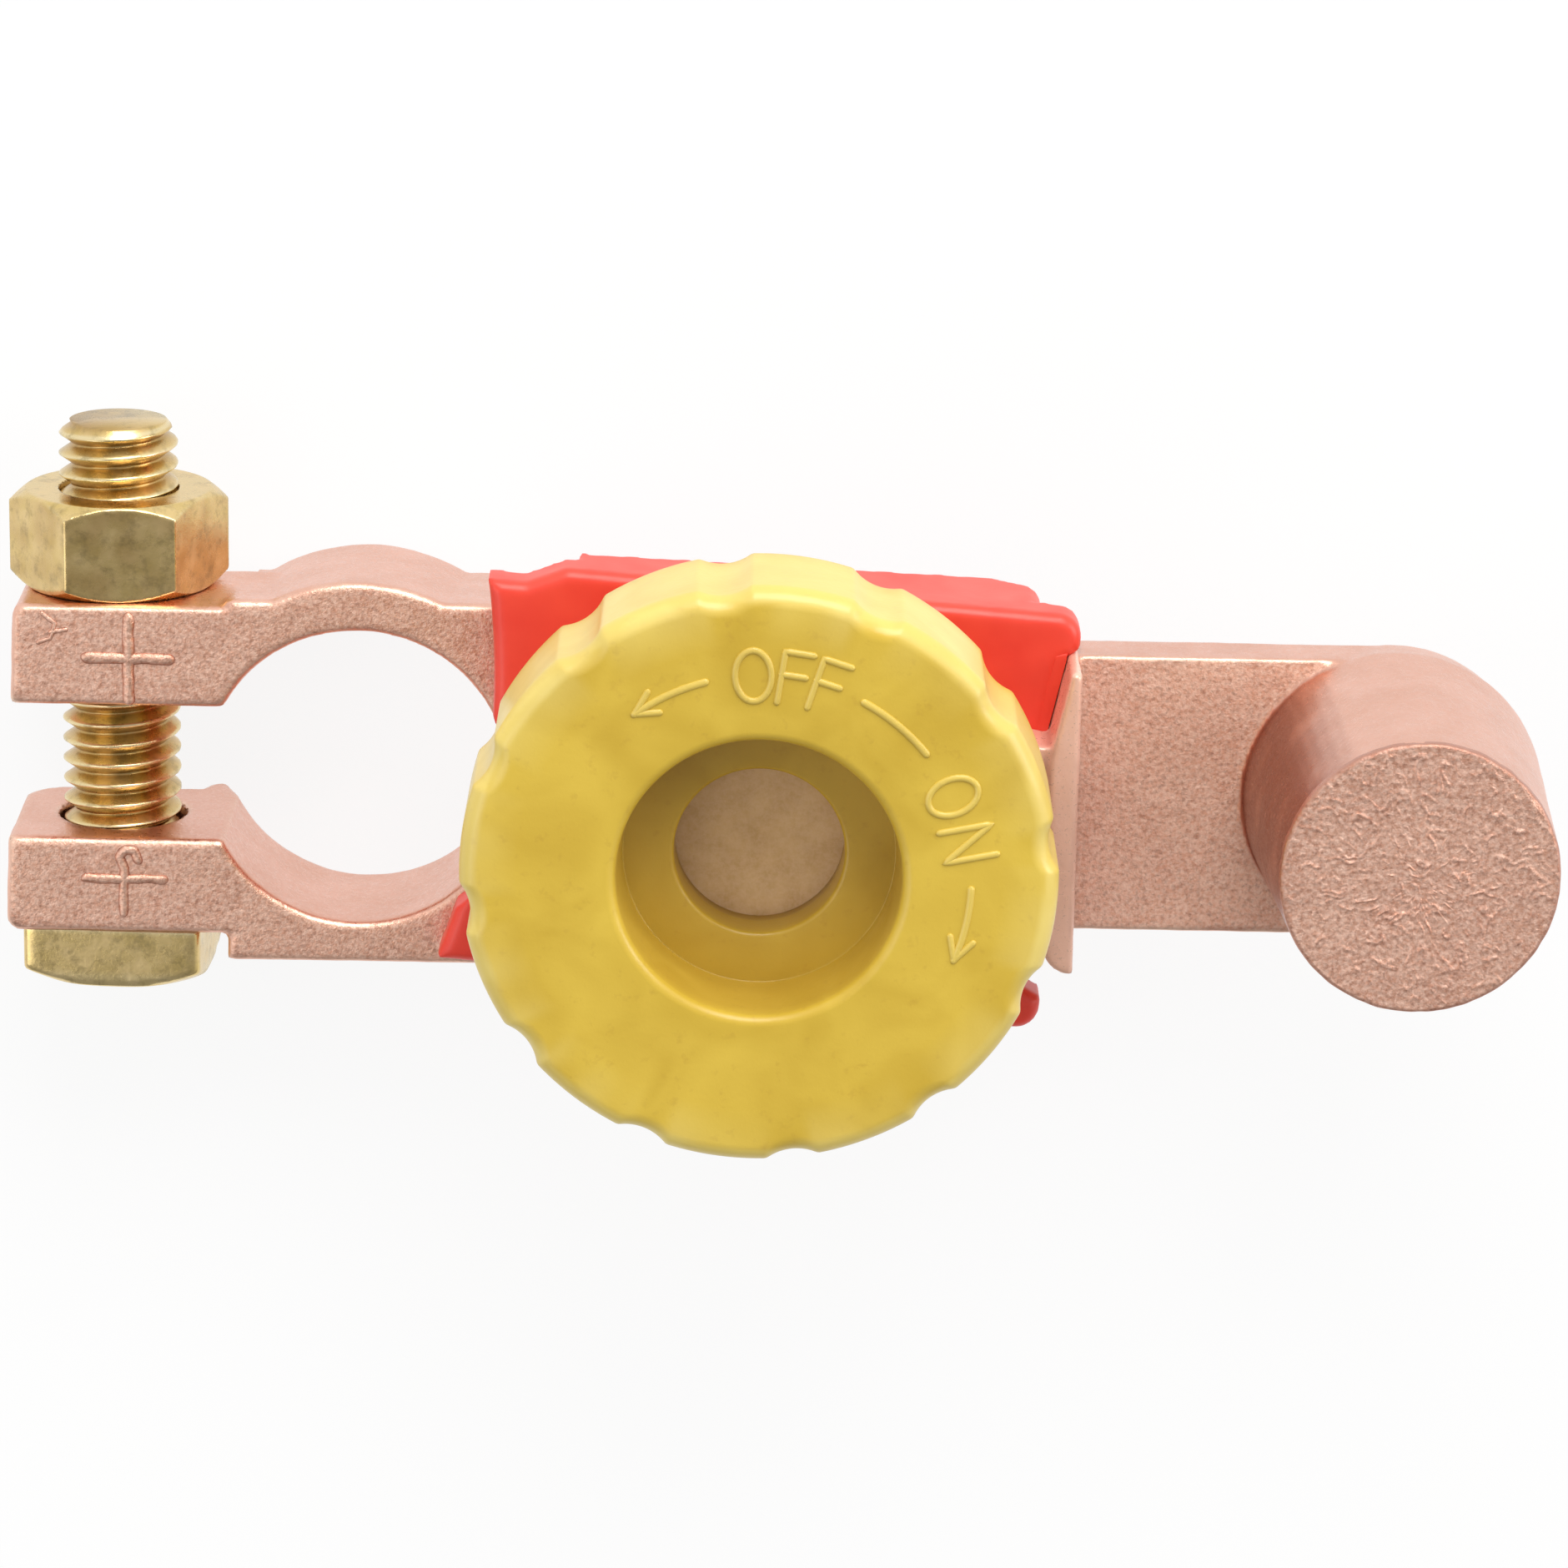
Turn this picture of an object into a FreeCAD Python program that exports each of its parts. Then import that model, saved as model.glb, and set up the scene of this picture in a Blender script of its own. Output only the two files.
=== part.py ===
import FreeCAD, Part
import math
import os
import Sketcher
from FreeCAD import Placement, Rotation, Vector

# Battery terminal disconnect switch. Two zinc castings lie in one plane: a clamp for a battery
# post, and an arm with a post of its own. The arm's bridge steps over the clamp's tongue, and a
# plastic insulator keeps the two apart. A screwed stud in the knob presses a contact disc onto the
# bridge, which closes the circuit, and unscrewing it by two turns opens it.
#
# Every sub-part is drawn with z = 0 at the front face of the two castings, +X from the clamp to
# the post and +Z towards the knob. The row's origin is on the clamp bore, half way up the clamp.

# Driving sizes, in millimetres and degrees
SIZES = {
    # clamp casting
    "clamp_depth": 14.0,
    "bore_radius": 10.1,
    "bore_lead": 1.0,
    "bore_lead_depth": 3.0,
    "ring_wall": 2.85,
    "cast_draft": 2.3,
    "ring_shift": 0.5,
    "neck_draft": 5.0,
    "flank_dip": 0.8,
    "flank_proud": 0.05,
    "neck_reach": 12.6,
    "jaw_reach": 22.9,
    "jaw_lower_extra": 0.7,
    "jaw_root": 8.8,
    "gap_top": 4.7,
    "gap_bottom": 4.5,
    "jaw_top": 11.6,
    "jaw_bottom": 11.1,
    "jaw_step": 1.6,
    "jaw_round": 2.8,
    "jaw_corner": 0.9,
    "foot_round": 1.4,
    "edge_round": 0.5,
    # clamp's tongue under the insulator
    "switch_reach": 26.9,
    "tongue_half": 10.5,
    "tongue_thick": 5.0,
    "tongue_gap": 2.0,
    "tongue_corner": 4.0,
    "boss_radius": 8.8,
    "rib_half": 3.0,
    "rib_step": 3.0,
    # clamp screw
    "bolt_reach": 16.4,
    "bolt_drop": 6.9,
    "bolt_radius": 3.97,
    "bolt_top": 22.7,
    "bolt_point": 0.9,
    "bolt_clearance": 0.33,
    "thread_clearance": 0.05,
    "head_half": 6.0,
    "head_thick": 4.2,
    "head_crown": 1.3,
    "head_turn": -3.0,
    "nut_turn": 6.4,
    "nut_half_flats": 6.35,
    "nut_thick": 6.5,
    "nut_chamfer": 0.9,
    # insulator
    "plate_thick": 3.2,
    "plate_left": 20.6,
    "hollow_radius": 53.2,
    "hollow_depth": 2.5,
    "hollow_shift": 2.6,
    "bore_relief": 0.4,
    "plate_ear": 1.2,
    "plate_flare": 1.2,
    "flare_start": 16.7,
    "flare_end": 14.1,
    "riser_gap": 0.6,
    "riser_side_gap": 0.9,
    "plate_corner": 1.6,
    "plate_round": 0.8,
    "skirt_wall": 2.0,
    "skirt_left": 13.4,
    "skirt_shallow": 1.8,
    "skirt_deep": 5.4,
    "skirt_corner_deep": 3.2,
    "skirt_corner": 1.2,
    "skirt_gap": 1.9,
    "end_wall_gap": 1.3,
    "end_wall": 2.0,
    "collar_wall": 1.5,
    "collar_sink": 0.6,
    "insulator_turn": 4.4,
    # arm casting with the post
    "post_reach": 42.2,
    "post_base": 10.0,
    "post_height": 18.4,
    "post_taper": 9.0,
    "arm_narrowing": 1.1,
    "arm_thick": 4.5,
    "arm_drop": 0.25,
    "arm_end_draft": 7.5,
    "riser_reach": 20.8,
    "riser_over": 0.9,
    "riser_shoulder": 6.0,
    "riser_thick": 2.0,
    "riser_lip": 0.5,
    "riser_corner": 1.9,
    "riser_round": 0.3,
    "bridge_half": 5.0,
    "bridge_thick": 4.3,
    "eye_radius": 10.3,
    "eye_clearance": 0.3,
    # contact stud and what it carries
    "stud_radius": 5.0,
    "stud_clearance": 0.4,
    "disc_thick": 0.8,
    "disc_radius": 9.6,
    "disc_clearance": 0.08,
    "flange_radius": 8.5,
    "flange_thick": 1.2,
    "hex_half_flats": 6.5,
    "hex_thick": 1.5,
    "stud_tail": 0.8,
    "insert_radius": 6.6,
    "clip_room": 5.0,
    "insert_clearance": 0.05,
    "clip_thick": 1.0,
    "clip_radius": 6.5,
    "clip_groove": 0.9,
    "clip_slot_half": 3.0,
    "clip_clearance": 0.05,
    "clip_pocket": 7.3,
    "open_travel": 3.0,
    # knob
    "knob_radius": 19.05,
    "knob_height": 10.0,
    "knob_gap": 1.7,
    "hub_gap": 0.15,
    "knob_round": 1.3,
    "knob_foot": 0.9,
    "recess_radius": 9.1,
    "recess_floor": 8.8,
    "recess_depth": 6.25,
    "recess_lip": 0.7,
    "window_radius": 5.5,
    "hub_radius": 12.6,
    "rim_inner": 16.2,
    "knob_core": 6.4,
    "knob_rib_half": 0.7,
    "lobe_count": 12.0,
    "lobe_dip": 0.55,
    "lobe_cut": 3.2,
    "lobe_phase": 7.5,
}


class Size:
    """A length or angle that knows its number and the sheet expression that gives it."""

    def __init__(self, value, text):
        self.value = value
        self.text = text

    @staticmethod
    def of(other):
        if isinstance(other, Size):
            return other
        return Size(float(other), repr(float(other)))

    def __add__(self, other):
        other = Size.of(other)
        return Size(self.value + other.value, f"({self.text} + {other.text})")

    def __sub__(self, other):
        other = Size.of(other)
        return Size(self.value - other.value, f"({self.text} - {other.text})")

    def __mul__(self, other):
        other = Size.of(other)
        return Size(self.value * other.value, f"({self.text} * {other.text})")

    def __truediv__(self, other):
        other = Size.of(other)
        return Size(self.value / other.value, f"({self.text} / {other.text})")

    def __neg__(self):
        return Size(-self.value, f"(0 - {self.text})")

    __radd__ = __add__
    __rmul__ = __mul__


class Dims:
    """The sizes by name, each tied to its cell in the sheet."""

    def __init__(self, doc):
        sheet = doc.addObject("Spreadsheet::Sheet", "Dims")
        for row, (name, number) in enumerate(SIZES.items(), start=1):
            sheet.set(f"A{row}", name)
            sheet.set(f"B{row}", str(number))
            sheet.setAlias(f"B{row}", name)
            setattr(self, name, Size(float(number), f"Dims.{name}"))
        doc.recompute()


doc = FreeCAD.newDocument("disconnect_switch")
d = Dims(doc)

# Heights above the castings' front face, shared by the pieces that stack on it
zero = Size.of(0)
bridge_under = d.plate_thick
bridge_top = bridge_under + d.bridge_thick
disc_top = bridge_top + d.disc_thick
flange_top = disc_top + d.flange_thick
stud_top = flange_top + d.hex_thick
rim_under = flange_top + d.knob_gap
knob_top = rim_under + d.knob_height
insert_length = d.clamp_depth - d.clip_room
clip_ceiling = -insert_length
clip_top = clip_ceiling - d.open_travel - d.clip_clearance
collar_bore = d.stud_radius + d.stud_clearance
collar_radius = collar_bore + d.collar_wall
bolt_hole = d.bolt_radius + d.bolt_clearance
ring_radius = d.bore_radius + d.ring_wall
flank_top = ring_radius - d.flank_dip
flank_bottom = ring_radius + d.flank_proud

# Along from the stud: the tongue ends inside the insulator's end wall, and that wall stops short
# of the arm's riser. Across: the arm is a little narrower than the tongue, the insulator wider.
riser_inner = d.riser_reach - d.riser_thick
plate_notch = riser_inner - d.riser_gap
plate_right = riser_inner + d.plate_ear
end_wall_out = riser_inner - d.end_wall_gap
tongue_reach = end_wall_out - d.end_wall - d.tongue_gap
arm_half = d.tongue_half - d.arm_narrowing
riser_half = arm_half + d.riser_over
skirt_inner = d.tongue_half + d.skirt_gap
plate_half = skirt_inner + d.skirt_wall
plate_end_half = plate_half - d.plate_flare
notch_half = riser_half + d.riser_side_gap
shoulder_start = riser_half - d.riser_shoulder


def bind(thing, prop, size):
    """Ties a property to the sheet."""
    thing.setExpression(prop, Size.of(size).text)


def new_body(label, x=zero, y=zero, z=zero):
    """A body whose local zero lies on the castings' front face, x along from the clamp bore."""
    body = doc.addObject("PartDesign::Body", label)
    body.Label = label
    bind(body, "Placement.Base.x", x)
    bind(body, "Placement.Base.y", y)
    bind(body, "Placement.Base.z", z + d.clamp_depth / 2)
    return body


def sketch_on(body, name, role, offset=None):
    """A sketch on one of the body's origin planes, offset along that plane's normal."""
    sketch = body.newObject("Sketcher::SketchObject", name)
    plane = [f for f in body.Origin.OriginFeatures if f.Role == role][0]
    sketch.AttachmentSupport = [(plane, "")]
    sketch.MapMode = "FlatFace"
    if offset is not None:
        sketch.AttachmentOffset = Placement(Vector(0, 0, offset.value), Rotation())
        bind(sketch, "AttachmentOffset.Base.z", offset)
    return sketch


def hold(sketch, kind, geometry, point, size):
    """A distance from the sketch's origin, tied to the sheet."""
    index = sketch.addConstraint(Sketcher.Constraint(kind, -1, 1, geometry, point, size.value))
    bind(sketch, f"Constraints[{index}]", size)


def outline(sketch, corners):
    """A closed line through corners; a third value rounds a corner between level and upright."""
    loop = []
    for corner in corners:
        x, y = Size.of(corner[0]), Size.of(corner[1])
        radius = Size.of(corner[2]) if len(corner) == 3 else None
        loop.append((x, y, radius))
    ends = []
    for i, (x, y, radius) in enumerate(loop):
        if radius is None:
            ends.append([(x, y)])
            continue
        before, after = loop[i - 1], loop[(i + 1) % len(loop)]
        pair = []
        for x2, y2, _ in (before, after):
            across, up = x2.value - x.value, y2.value - y.value
            if abs(across) > abs(up):
                pair.append((x + radius if across > 0 else x - radius, y))
            else:
                pair.append((x, y + radius if up > 0 else y - radius))
        ends.append(pair)
    first = sketch.GeometryCount
    points = [point for group in ends for point in group]
    rounded = []
    for group, (x, y, radius) in zip(ends, loop):
        if len(group) == 2:
            rounded += [(radius, x, y), None]
        else:
            rounded.append(None)
    count = len(points)
    for i in range(count):
        x1, y1 = points[i]
        x2, y2 = points[(i + 1) % count]
        start = Vector(x1.value, y1.value, 0)
        end = Vector(x2.value, y2.value, 0)
        if rounded[i] is None:
            sketch.addGeometry(Part.LineSegment(start, end), False)
            continue
        radius, x, y = rounded[i]
        corner = Vector(x.value, y.value, 0)
        centre = start + end - corner
        middle = centre + (corner - centre) * (1 / 2 ** 0.5)
        curve = Part.Arc(start, middle, end)
        sketch.addGeometry(curve, False)
    for i in range(count):
        # An arc is kept counter-clockwise, so its two ends may have changed places
        here = point_at(sketch, first + i, points[(i + 1) % count])
        there = point_at(sketch, first + (i + 1) % count, points[(i + 1) % count])
        sketch.addConstraint(
            Sketcher.Constraint("Coincident", first + i, here, first + (i + 1) % count, there)
        )
    for i, (x, y) in enumerate(points):
        vertex = point_at(sketch, first + i, (x, y))
        hold(sketch, "DistanceX", first + i, vertex, x)
        hold(sketch, "DistanceY", first + i, vertex, y)
        if rounded[i] is not None:
            radius = rounded[i][0]
            rule = sketch.addConstraint(
                Sketcher.Constraint("Radius", first + i, radius.value)
            )
            bind(sketch, f"Constraints[{rule}]", radius)


def point_at(sketch, geometry, place):
    """Which end of a line or arc lies at a place: 1 for the start, 2 for the end."""
    target = Vector(place[0].value, place[1].value, 0)
    gaps = [sketch.getPoint(geometry, end).distanceToPoint(target) for end in (1, 2)]
    return 1 if gaps[0] <= gaps[1] else 2


def disk(sketch, radius, x=zero, y=zero):
    """A circle of a set radius and centre."""
    x, y, radius = Size.of(x), Size.of(y), Size.of(radius)
    circle = Part.Circle(Vector(x.value, y.value, 0), Vector(0, 0, 1), radius.value)
    index = sketch.addGeometry(circle, False)
    rule = sketch.addConstraint(Sketcher.Constraint("Radius", index, radius.value))
    bind(sketch, f"Constraints[{rule}]", radius)
    hold(sketch, "DistanceX", index, 3, x)
    hold(sketch, "DistanceY", index, 3, y)


def pad(body, sketch, name, length, down=True, both=False, draft=None):
    """Raises a sketch; down means against the sketch's normal."""
    feature = body.newObject("PartDesign::Pad", name)
    feature.Profile = sketch
    feature.Reversed = down
    feature.Midplane = both
    bind(feature, "Length", length)
    if draft is not None:
        bind(feature, "TaperAngle", draft)
    return feature


def cut(body, sketch, name, length=None, down=False, both=False):
    """Sinks a sketch; with no length it goes right through, both ways."""
    settle()
    before = body.Shape.Volume
    feature = body.newObject("PartDesign::Pocket", name)
    feature.Profile = sketch
    feature.Reversed = down
    if length is None:
        feature.Type = "ThroughAll"
        feature.Midplane = True
    else:
        feature.Midplane = both
        bind(feature, "Length", length)
    settle()
    if not body.Shape.Volume < before - 1e-6:
        raise RuntimeError(f"{body.Label}: {name} cuts nothing")
    return feature


def turned(body, name, profile):
    """A solid of revolution about the body's z axis, from (radius, height) corners."""
    sketch = sketch_on(body, name + "Profile", "XZ_Plane")
    outline(sketch, profile)
    feature = body.newObject("PartDesign::Revolution", name)
    feature.Profile = sketch
    feature.ReferenceAxis = (sketch, ["V_Axis"])
    feature.Angle = 360
    return feature


def settle():
    """Recomputes, and stops at the first feature that does not build."""
    doc.recompute()
    for thing in doc.Objects:
        if "Invalid" in thing.State or "Error" in thing.State:
            raise RuntimeError(f"{thing.Label} in {thing.getParent()} does not build")


def edges_where(shape, test):
    """The names of the edges that pass a test."""
    return [f"Edge{i}" for i, edge in enumerate(shape.Edges, start=1) if test(edge)]


def flat_at(edge, height):
    """Whether an edge lies at one height."""
    box = edge.BoundBox
    return abs(box.ZMin - height) < 1e-4 and abs(box.ZMax - height) < 1e-4


def round_edges(body, name, base, size, test, kind="Fillet"):
    """Rounds or bevels the edges of a feature that pass a test."""
    settle()
    names = edges_where(base.Shape, test)
    if not names:
        raise RuntimeError(f"{body.Label}: {name} finds no edge")
    feature = body.newObject(f"PartDesign::{kind}", name)
    feature.Base = (base, names)
    bind(feature, "Radius" if kind == "Fillet" else "Size", size)
    return feature


def make_clamp():
    """The clamp casting: split ring, two jaws, and a tongue with a boss for the stud."""
    body = new_body("clamp_body")
    lower_end = -d.clamp_depth
    sketch = sketch_on(body, "JawSketch", "XY_Plane")
    outline(sketch, [
        (-d.jaw_reach - d.jaw_lower_extra, -d.jaw_bottom, d.jaw_corner),
        (-d.bore_radius * 0.5, -d.jaw_bottom),
        (-d.bore_radius * 0.5, d.jaw_top),
        (-d.jaw_reach, d.jaw_top, d.jaw_corner),
    ])
    jaw_depth = d.clamp_depth - d.jaw_step
    jaws = pad(body, sketch, "Jaws", jaw_depth)
    jaw_end = -jaw_depth.value
    last = round_edges(
        body, "JawRound", jaws, d.jaw_round,
        lambda e: flat_at(e, jaw_end) and e.BoundBox.XMin < -d.jaw_root.value,
    )
    sketch = sketch_on(body, "RingSketch", "XY_Plane")
    disk(sketch, ring_radius, zero, d.ring_shift)
    pad(body, sketch, "Ring", d.clamp_depth, draft=-d.cast_draft)
    sketch = sketch_on(body, "NeckSketch", "XY_Plane")
    outline(sketch, [
        (-d.jaw_root, -flank_bottom),
        (d.neck_reach, -flank_bottom),
        (d.neck_reach, flank_top),
        (-d.jaw_root, flank_top),
    ])
    neck = pad(body, sketch, "Neck", d.clamp_depth, draft=-d.neck_draft)
    round_edges(body, "FootRound", neck, d.foot_round, lambda e: flat_at(e, lower_end.value))
    sketch = sketch_on(body, "TongueSketch", "XY_Plane")
    tongue_tip = d.switch_reach + tongue_reach
    outline(sketch, [
        (d.neck_reach - 2, -d.tongue_half),
        (tongue_tip, -d.tongue_half, d.tongue_corner),
        (tongue_tip, d.tongue_half, d.tongue_corner),
        (d.neck_reach - 2, d.tongue_half),
    ])
    pad(body, sketch, "Tongue", d.tongue_thick)
    sketch = sketch_on(body, "BossSketch", "XY_Plane")
    disk(sketch, d.boss_radius, d.switch_reach)
    pad(body, sketch, "Boss", d.clamp_depth)
    sketch = sketch_on(body, "RibSketch", "XY_Plane")
    outline(sketch, [
        (ring_radius - 1, -d.rib_half),
        (d.switch_reach, -d.rib_half),
        (d.switch_reach, d.rib_half),
        (ring_radius - 1, d.rib_half),
    ])
    pad(body, sketch, "Rib", d.clamp_depth - d.rib_step)

    sketch = sketch_on(body, "BoreSketch", "XY_Plane")
    disk(sketch, d.bore_radius)
    cut(body, sketch, "Bore")
    sketch = sketch_on(body, "LeadSketch", "XZ_Plane")
    outline(sketch, [
        (0, lower_end),
        (d.bore_radius + d.bore_lead, lower_end),
        (d.bore_radius, lower_end + d.bore_lead_depth),
        (0, lower_end + d.bore_lead_depth),
    ])
    lead = body.newObject("PartDesign::Groove", "BoreLead")
    lead.Profile = sketch
    lead.ReferenceAxis = (sketch, ["V_Axis"])
    lead.Angle = 360
    sketch = sketch_on(body, "SplitSketch", "XY_Plane")
    outline(sketch, [
        (-d.jaw_reach - d.jaw_lower_extra - 1, -d.gap_bottom),
        (0, -d.gap_bottom),
        (0, d.gap_top),
        (-d.jaw_reach - d.jaw_lower_extra - 1, d.gap_top),
    ])
    doc.recompute()
    cut(body, sketch, "Split")
    sketch = sketch_on(body, "BoltHoleSketch", "XZ_Plane")
    disk(sketch, bolt_hole, -d.bolt_reach, -d.bolt_drop)
    cut(body, sketch, "BoltHole")
    sketch = sketch_on(body, "InsertSeatSketch", "XY_Plane")
    disk(sketch, d.insert_radius + d.insert_clearance, d.switch_reach)
    cut(body, sketch, "InsertSeat")
    sketch = sketch_on(body, "ClipPocketSketch", "XY_Plane", lower_end)
    disk(sketch, d.clip_pocket, d.switch_reach)
    last = cut(body, sketch, "ClipPocket", d.clip_room, down=True)

    def front_edge(edge):
        return flat_at(edge, 0) and edge.BoundBox.XMax < d.neck_reach.value + 0.01

    round_edges(body, "FrontEdges", last, d.edge_round, front_edge)
    return body


def make_arm():
    """The arm casting: tapered post, flat arm, riser, and the bridge with its eye."""
    body = new_body("post_arm", d.switch_reach)
    sketch = sketch_on(body, "ArmSketch", "XY_Plane")
    outline(sketch, [
        (riser_inner, -arm_half - d.arm_drop),
        (d.post_reach, -arm_half - d.arm_drop),
        (d.post_reach, arm_half),
        (riser_inner, arm_half),
    ])
    pad(body, sketch, "Arm", d.arm_thick)
    sketch = sketch_on(body, "ArmEndSketch", "XY_Plane")
    disk(sketch, d.post_base, d.post_reach)
    arm = pad(body, sketch, "ArmEnd", d.arm_thick, draft=-d.arm_end_draft)
    foot = -d.arm_thick.value
    wall = riser_inner.value
    round_edges(
        body, "ArmFoot", arm, d.edge_round,
        lambda e: flat_at(e, foot) and e.BoundBox.XMax > wall + 0.1,
    )
    sketch = sketch_on(body, "RiserSketch", "XY_Plane", -d.arm_thick)
    outline(sketch, [
        (riser_inner, -riser_half, d.riser_corner),
        (d.riser_reach, -riser_half),
        (d.riser_reach, riser_half),
        (d.riser_reach - d.riser_thick / 3, riser_half),
        (riser_inner, riser_half - d.riser_shoulder),
    ])
    riser_top = bridge_top + d.riser_lip
    riser = pad(body, sketch, "Riser", d.arm_thick + riser_top, down=False)
    top = riser_top.value
    right = d.riser_reach.value
    riser = round_edges(
        body, "RiserRound", riser, d.riser_round,
        lambda e: flat_at(e, top) and e.BoundBox.XMax > right - 2.5,
    )
    sketch = sketch_on(body, "BridgeSketch", "XY_Plane", bridge_under)
    outline(sketch, [
        (0, -d.eye_radius * 0.9),
        (riser_inner + d.riser_round, -d.bridge_half),
        (riser_inner + d.riser_round, d.bridge_half),
        (0, d.eye_radius * 0.9),
    ])
    pad(body, sketch, "Bridge", d.bridge_thick, down=False)
    sketch = sketch_on(body, "EyeSketch", "XY_Plane", bridge_under)
    disk(sketch, d.eye_radius)
    pad(body, sketch, "Eye", d.bridge_thick, down=False)
    doc.recompute()
    sketch = sketch_on(body, "EyeHoleSketch", "XY_Plane")
    disk(sketch, collar_radius + d.eye_clearance)
    last = cut(body, sketch, "EyeHole")

    # The post narrows by one in nine on its diameter, as battery posts do
    sketch = sketch_on(body, "PostSketch", "XZ_Plane")
    post_tip = d.post_base - d.post_height / d.post_taper / 2
    outline(sketch, [
        (d.post_reach, zero),
        (d.post_reach + d.post_base, zero),
        (d.post_reach + post_tip, d.post_height),
        (d.post_reach, d.post_height),
    ])
    foot_of_axis = Vector(d.post_reach.value, 0, 0)
    top_of_axis = Vector(d.post_reach.value, d.post_height.value, 0)
    axis = sketch.addGeometry(Part.LineSegment(foot_of_axis, top_of_axis), True)
    sketch.addConstraint(Sketcher.Constraint("Coincident", axis, 1, 0, 1))
    sketch.addConstraint(Sketcher.Constraint("Coincident", axis, 2, 3, 1))
    post = body.newObject("PartDesign::Revolution", "Post")
    post.Profile = sketch
    post.ReferenceAxis = (sketch, ["Axis0"])
    post.Angle = 360
    height = d.post_height.value
    round_edges(body, "PostRim", post, d.edge_round, lambda e: flat_at(e, height))
    settle()
    return body


def make_insulator():
    """The moulded insulator: a plate on the tongue, a skirt round it and a collar for the stud."""
    body = new_body("insulator", d.switch_reach)
    body.Placement.Rotation = Rotation(Vector(0, 0, -1), d.insulator_turn.value)
    bind(body, "Placement.Rotation.Angle", d.insulator_turn)

    sketch = sketch_on(body, "SkirtSketch", "XY_Plane", d.plate_thick / 3)
    outline(sketch, [
        (-d.skirt_left, -plate_half),
        (end_wall_out, -plate_half, d.skirt_corner),
        (end_wall_out, plate_half, d.skirt_corner),
        (-d.skirt_left, plate_half),
    ])
    pad(body, sketch, "Skirt", d.plate_thick / 3 + d.skirt_deep)

    # Seen from the side, the skirt's lower edge falls towards the arm and rises at its end
    sketch = sketch_on(body, "SkirtSlopeSketch", "XZ_Plane")
    below = d.skirt_deep + 2
    outline(sketch, [
        (-d.skirt_left - 1, -d.skirt_shallow),
        (-d.skirt_left + 1, -d.skirt_shallow),
        (end_wall_out - 4, -d.skirt_deep),
        (end_wall_out - 3, -d.skirt_deep),
        (end_wall_out + 1, -d.skirt_corner_deep),
        (end_wall_out + 1, -below),
        (-d.skirt_left - 1, -below),
    ])
    cut(body, sketch, "SkirtSlope")

    sketch = sketch_on(body, "PlateSketch", "XY_Plane")
    outline(sketch, [
        (-d.plate_left, -plate_end_half),
        (-d.flare_start, -plate_end_half),
        (-d.flare_end, -plate_half),
        (plate_right, -plate_half, d.plate_corner),
        (plate_right, -notch_half - d.riser_side_gap),
        (plate_notch, -notch_half),
        (plate_notch, shoulder_start),
        (plate_notch + d.riser_thick / 3, notch_half),
        (plate_right, notch_half + d.riser_side_gap),
        (plate_right, plate_half, d.plate_corner),
        (-d.flare_end, plate_half),
        (-d.flare_start, plate_end_half),
        (-d.plate_left, plate_end_half),
    ])
    pad(body, sketch, "Plate", d.plate_thick, down=False)
    sketch = sketch_on(body, "HollowSketch", "XY_Plane")
    middle = d.plate_left - d.hollow_depth + d.hollow_radius
    disk(sketch, d.hollow_radius, -middle, d.hollow_shift)
    plate = cut(body, sketch, "Hollow")
    thick = d.plate_thick.value
    round_edges(body, "PlateRound", plate, d.plate_round, lambda e: flat_at(e, thick))

    # The plate stays clear of the clamp's bore, whose axis is seen here from the turned body
    turn = math.radians(d.insulator_turn.value)
    reach = d.switch_reach.value
    bore_x = Size(reach * math.cos(turn), "(Dims.switch_reach * cos(Dims.insulator_turn))")
    bore_y = Size(reach * math.sin(turn), "(Dims.switch_reach * sin(Dims.insulator_turn))")
    sketch = sketch_on(body, "ReliefSketch", "XY_Plane")
    disk(sketch, d.bore_radius + d.bore_relief, -bore_x, -bore_y)
    cut(body, sketch, "BoreRelief")
    sketch = sketch_on(body, "TroughSketch", "XY_Plane")
    outline(sketch, [
        (-d.skirt_left - 2, -skirt_inner),
        (end_wall_out - d.end_wall, -skirt_inner),
        (end_wall_out - d.end_wall, skirt_inner),
        (-d.skirt_left - 2, skirt_inner),
    ])
    cut(body, sketch, "Trough", d.skirt_deep + 1)
    sketch = sketch_on(body, "CollarSketch", "XY_Plane", d.plate_thick)
    disk(sketch, collar_radius)
    pad(body, sketch, "Collar", d.bridge_thick - d.collar_sink, down=False)
    doc.recompute()
    sketch = sketch_on(body, "StudHoleSketch", "XY_Plane")
    disk(sketch, collar_bore)
    cut(body, sketch, "StudHole")
    return body


def make_insert():
    """The brass bush in the boss that the stud screws into."""
    body = new_body("thread_insert", d.switch_reach)
    bore = d.stud_radius + d.thread_clearance
    turned(body, "Bush", [
        (bore, clip_ceiling),
        (d.insert_radius, clip_ceiling),
        (d.insert_radius, zero),
        (bore, zero),
    ])
    return body


def hexagon(sketch, half_flats):
    """A hexagon with a flat facing each way along the sketch's second axis."""
    side = half_flats * (2 / 3 ** 0.5)
    outline(sketch, [
        (side, zero),
        (side / 2, half_flats),
        (-side / 2, half_flats),
        (-side, zero),
        (-side / 2, -half_flats),
        (side / 2, -half_flats),
    ])


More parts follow.
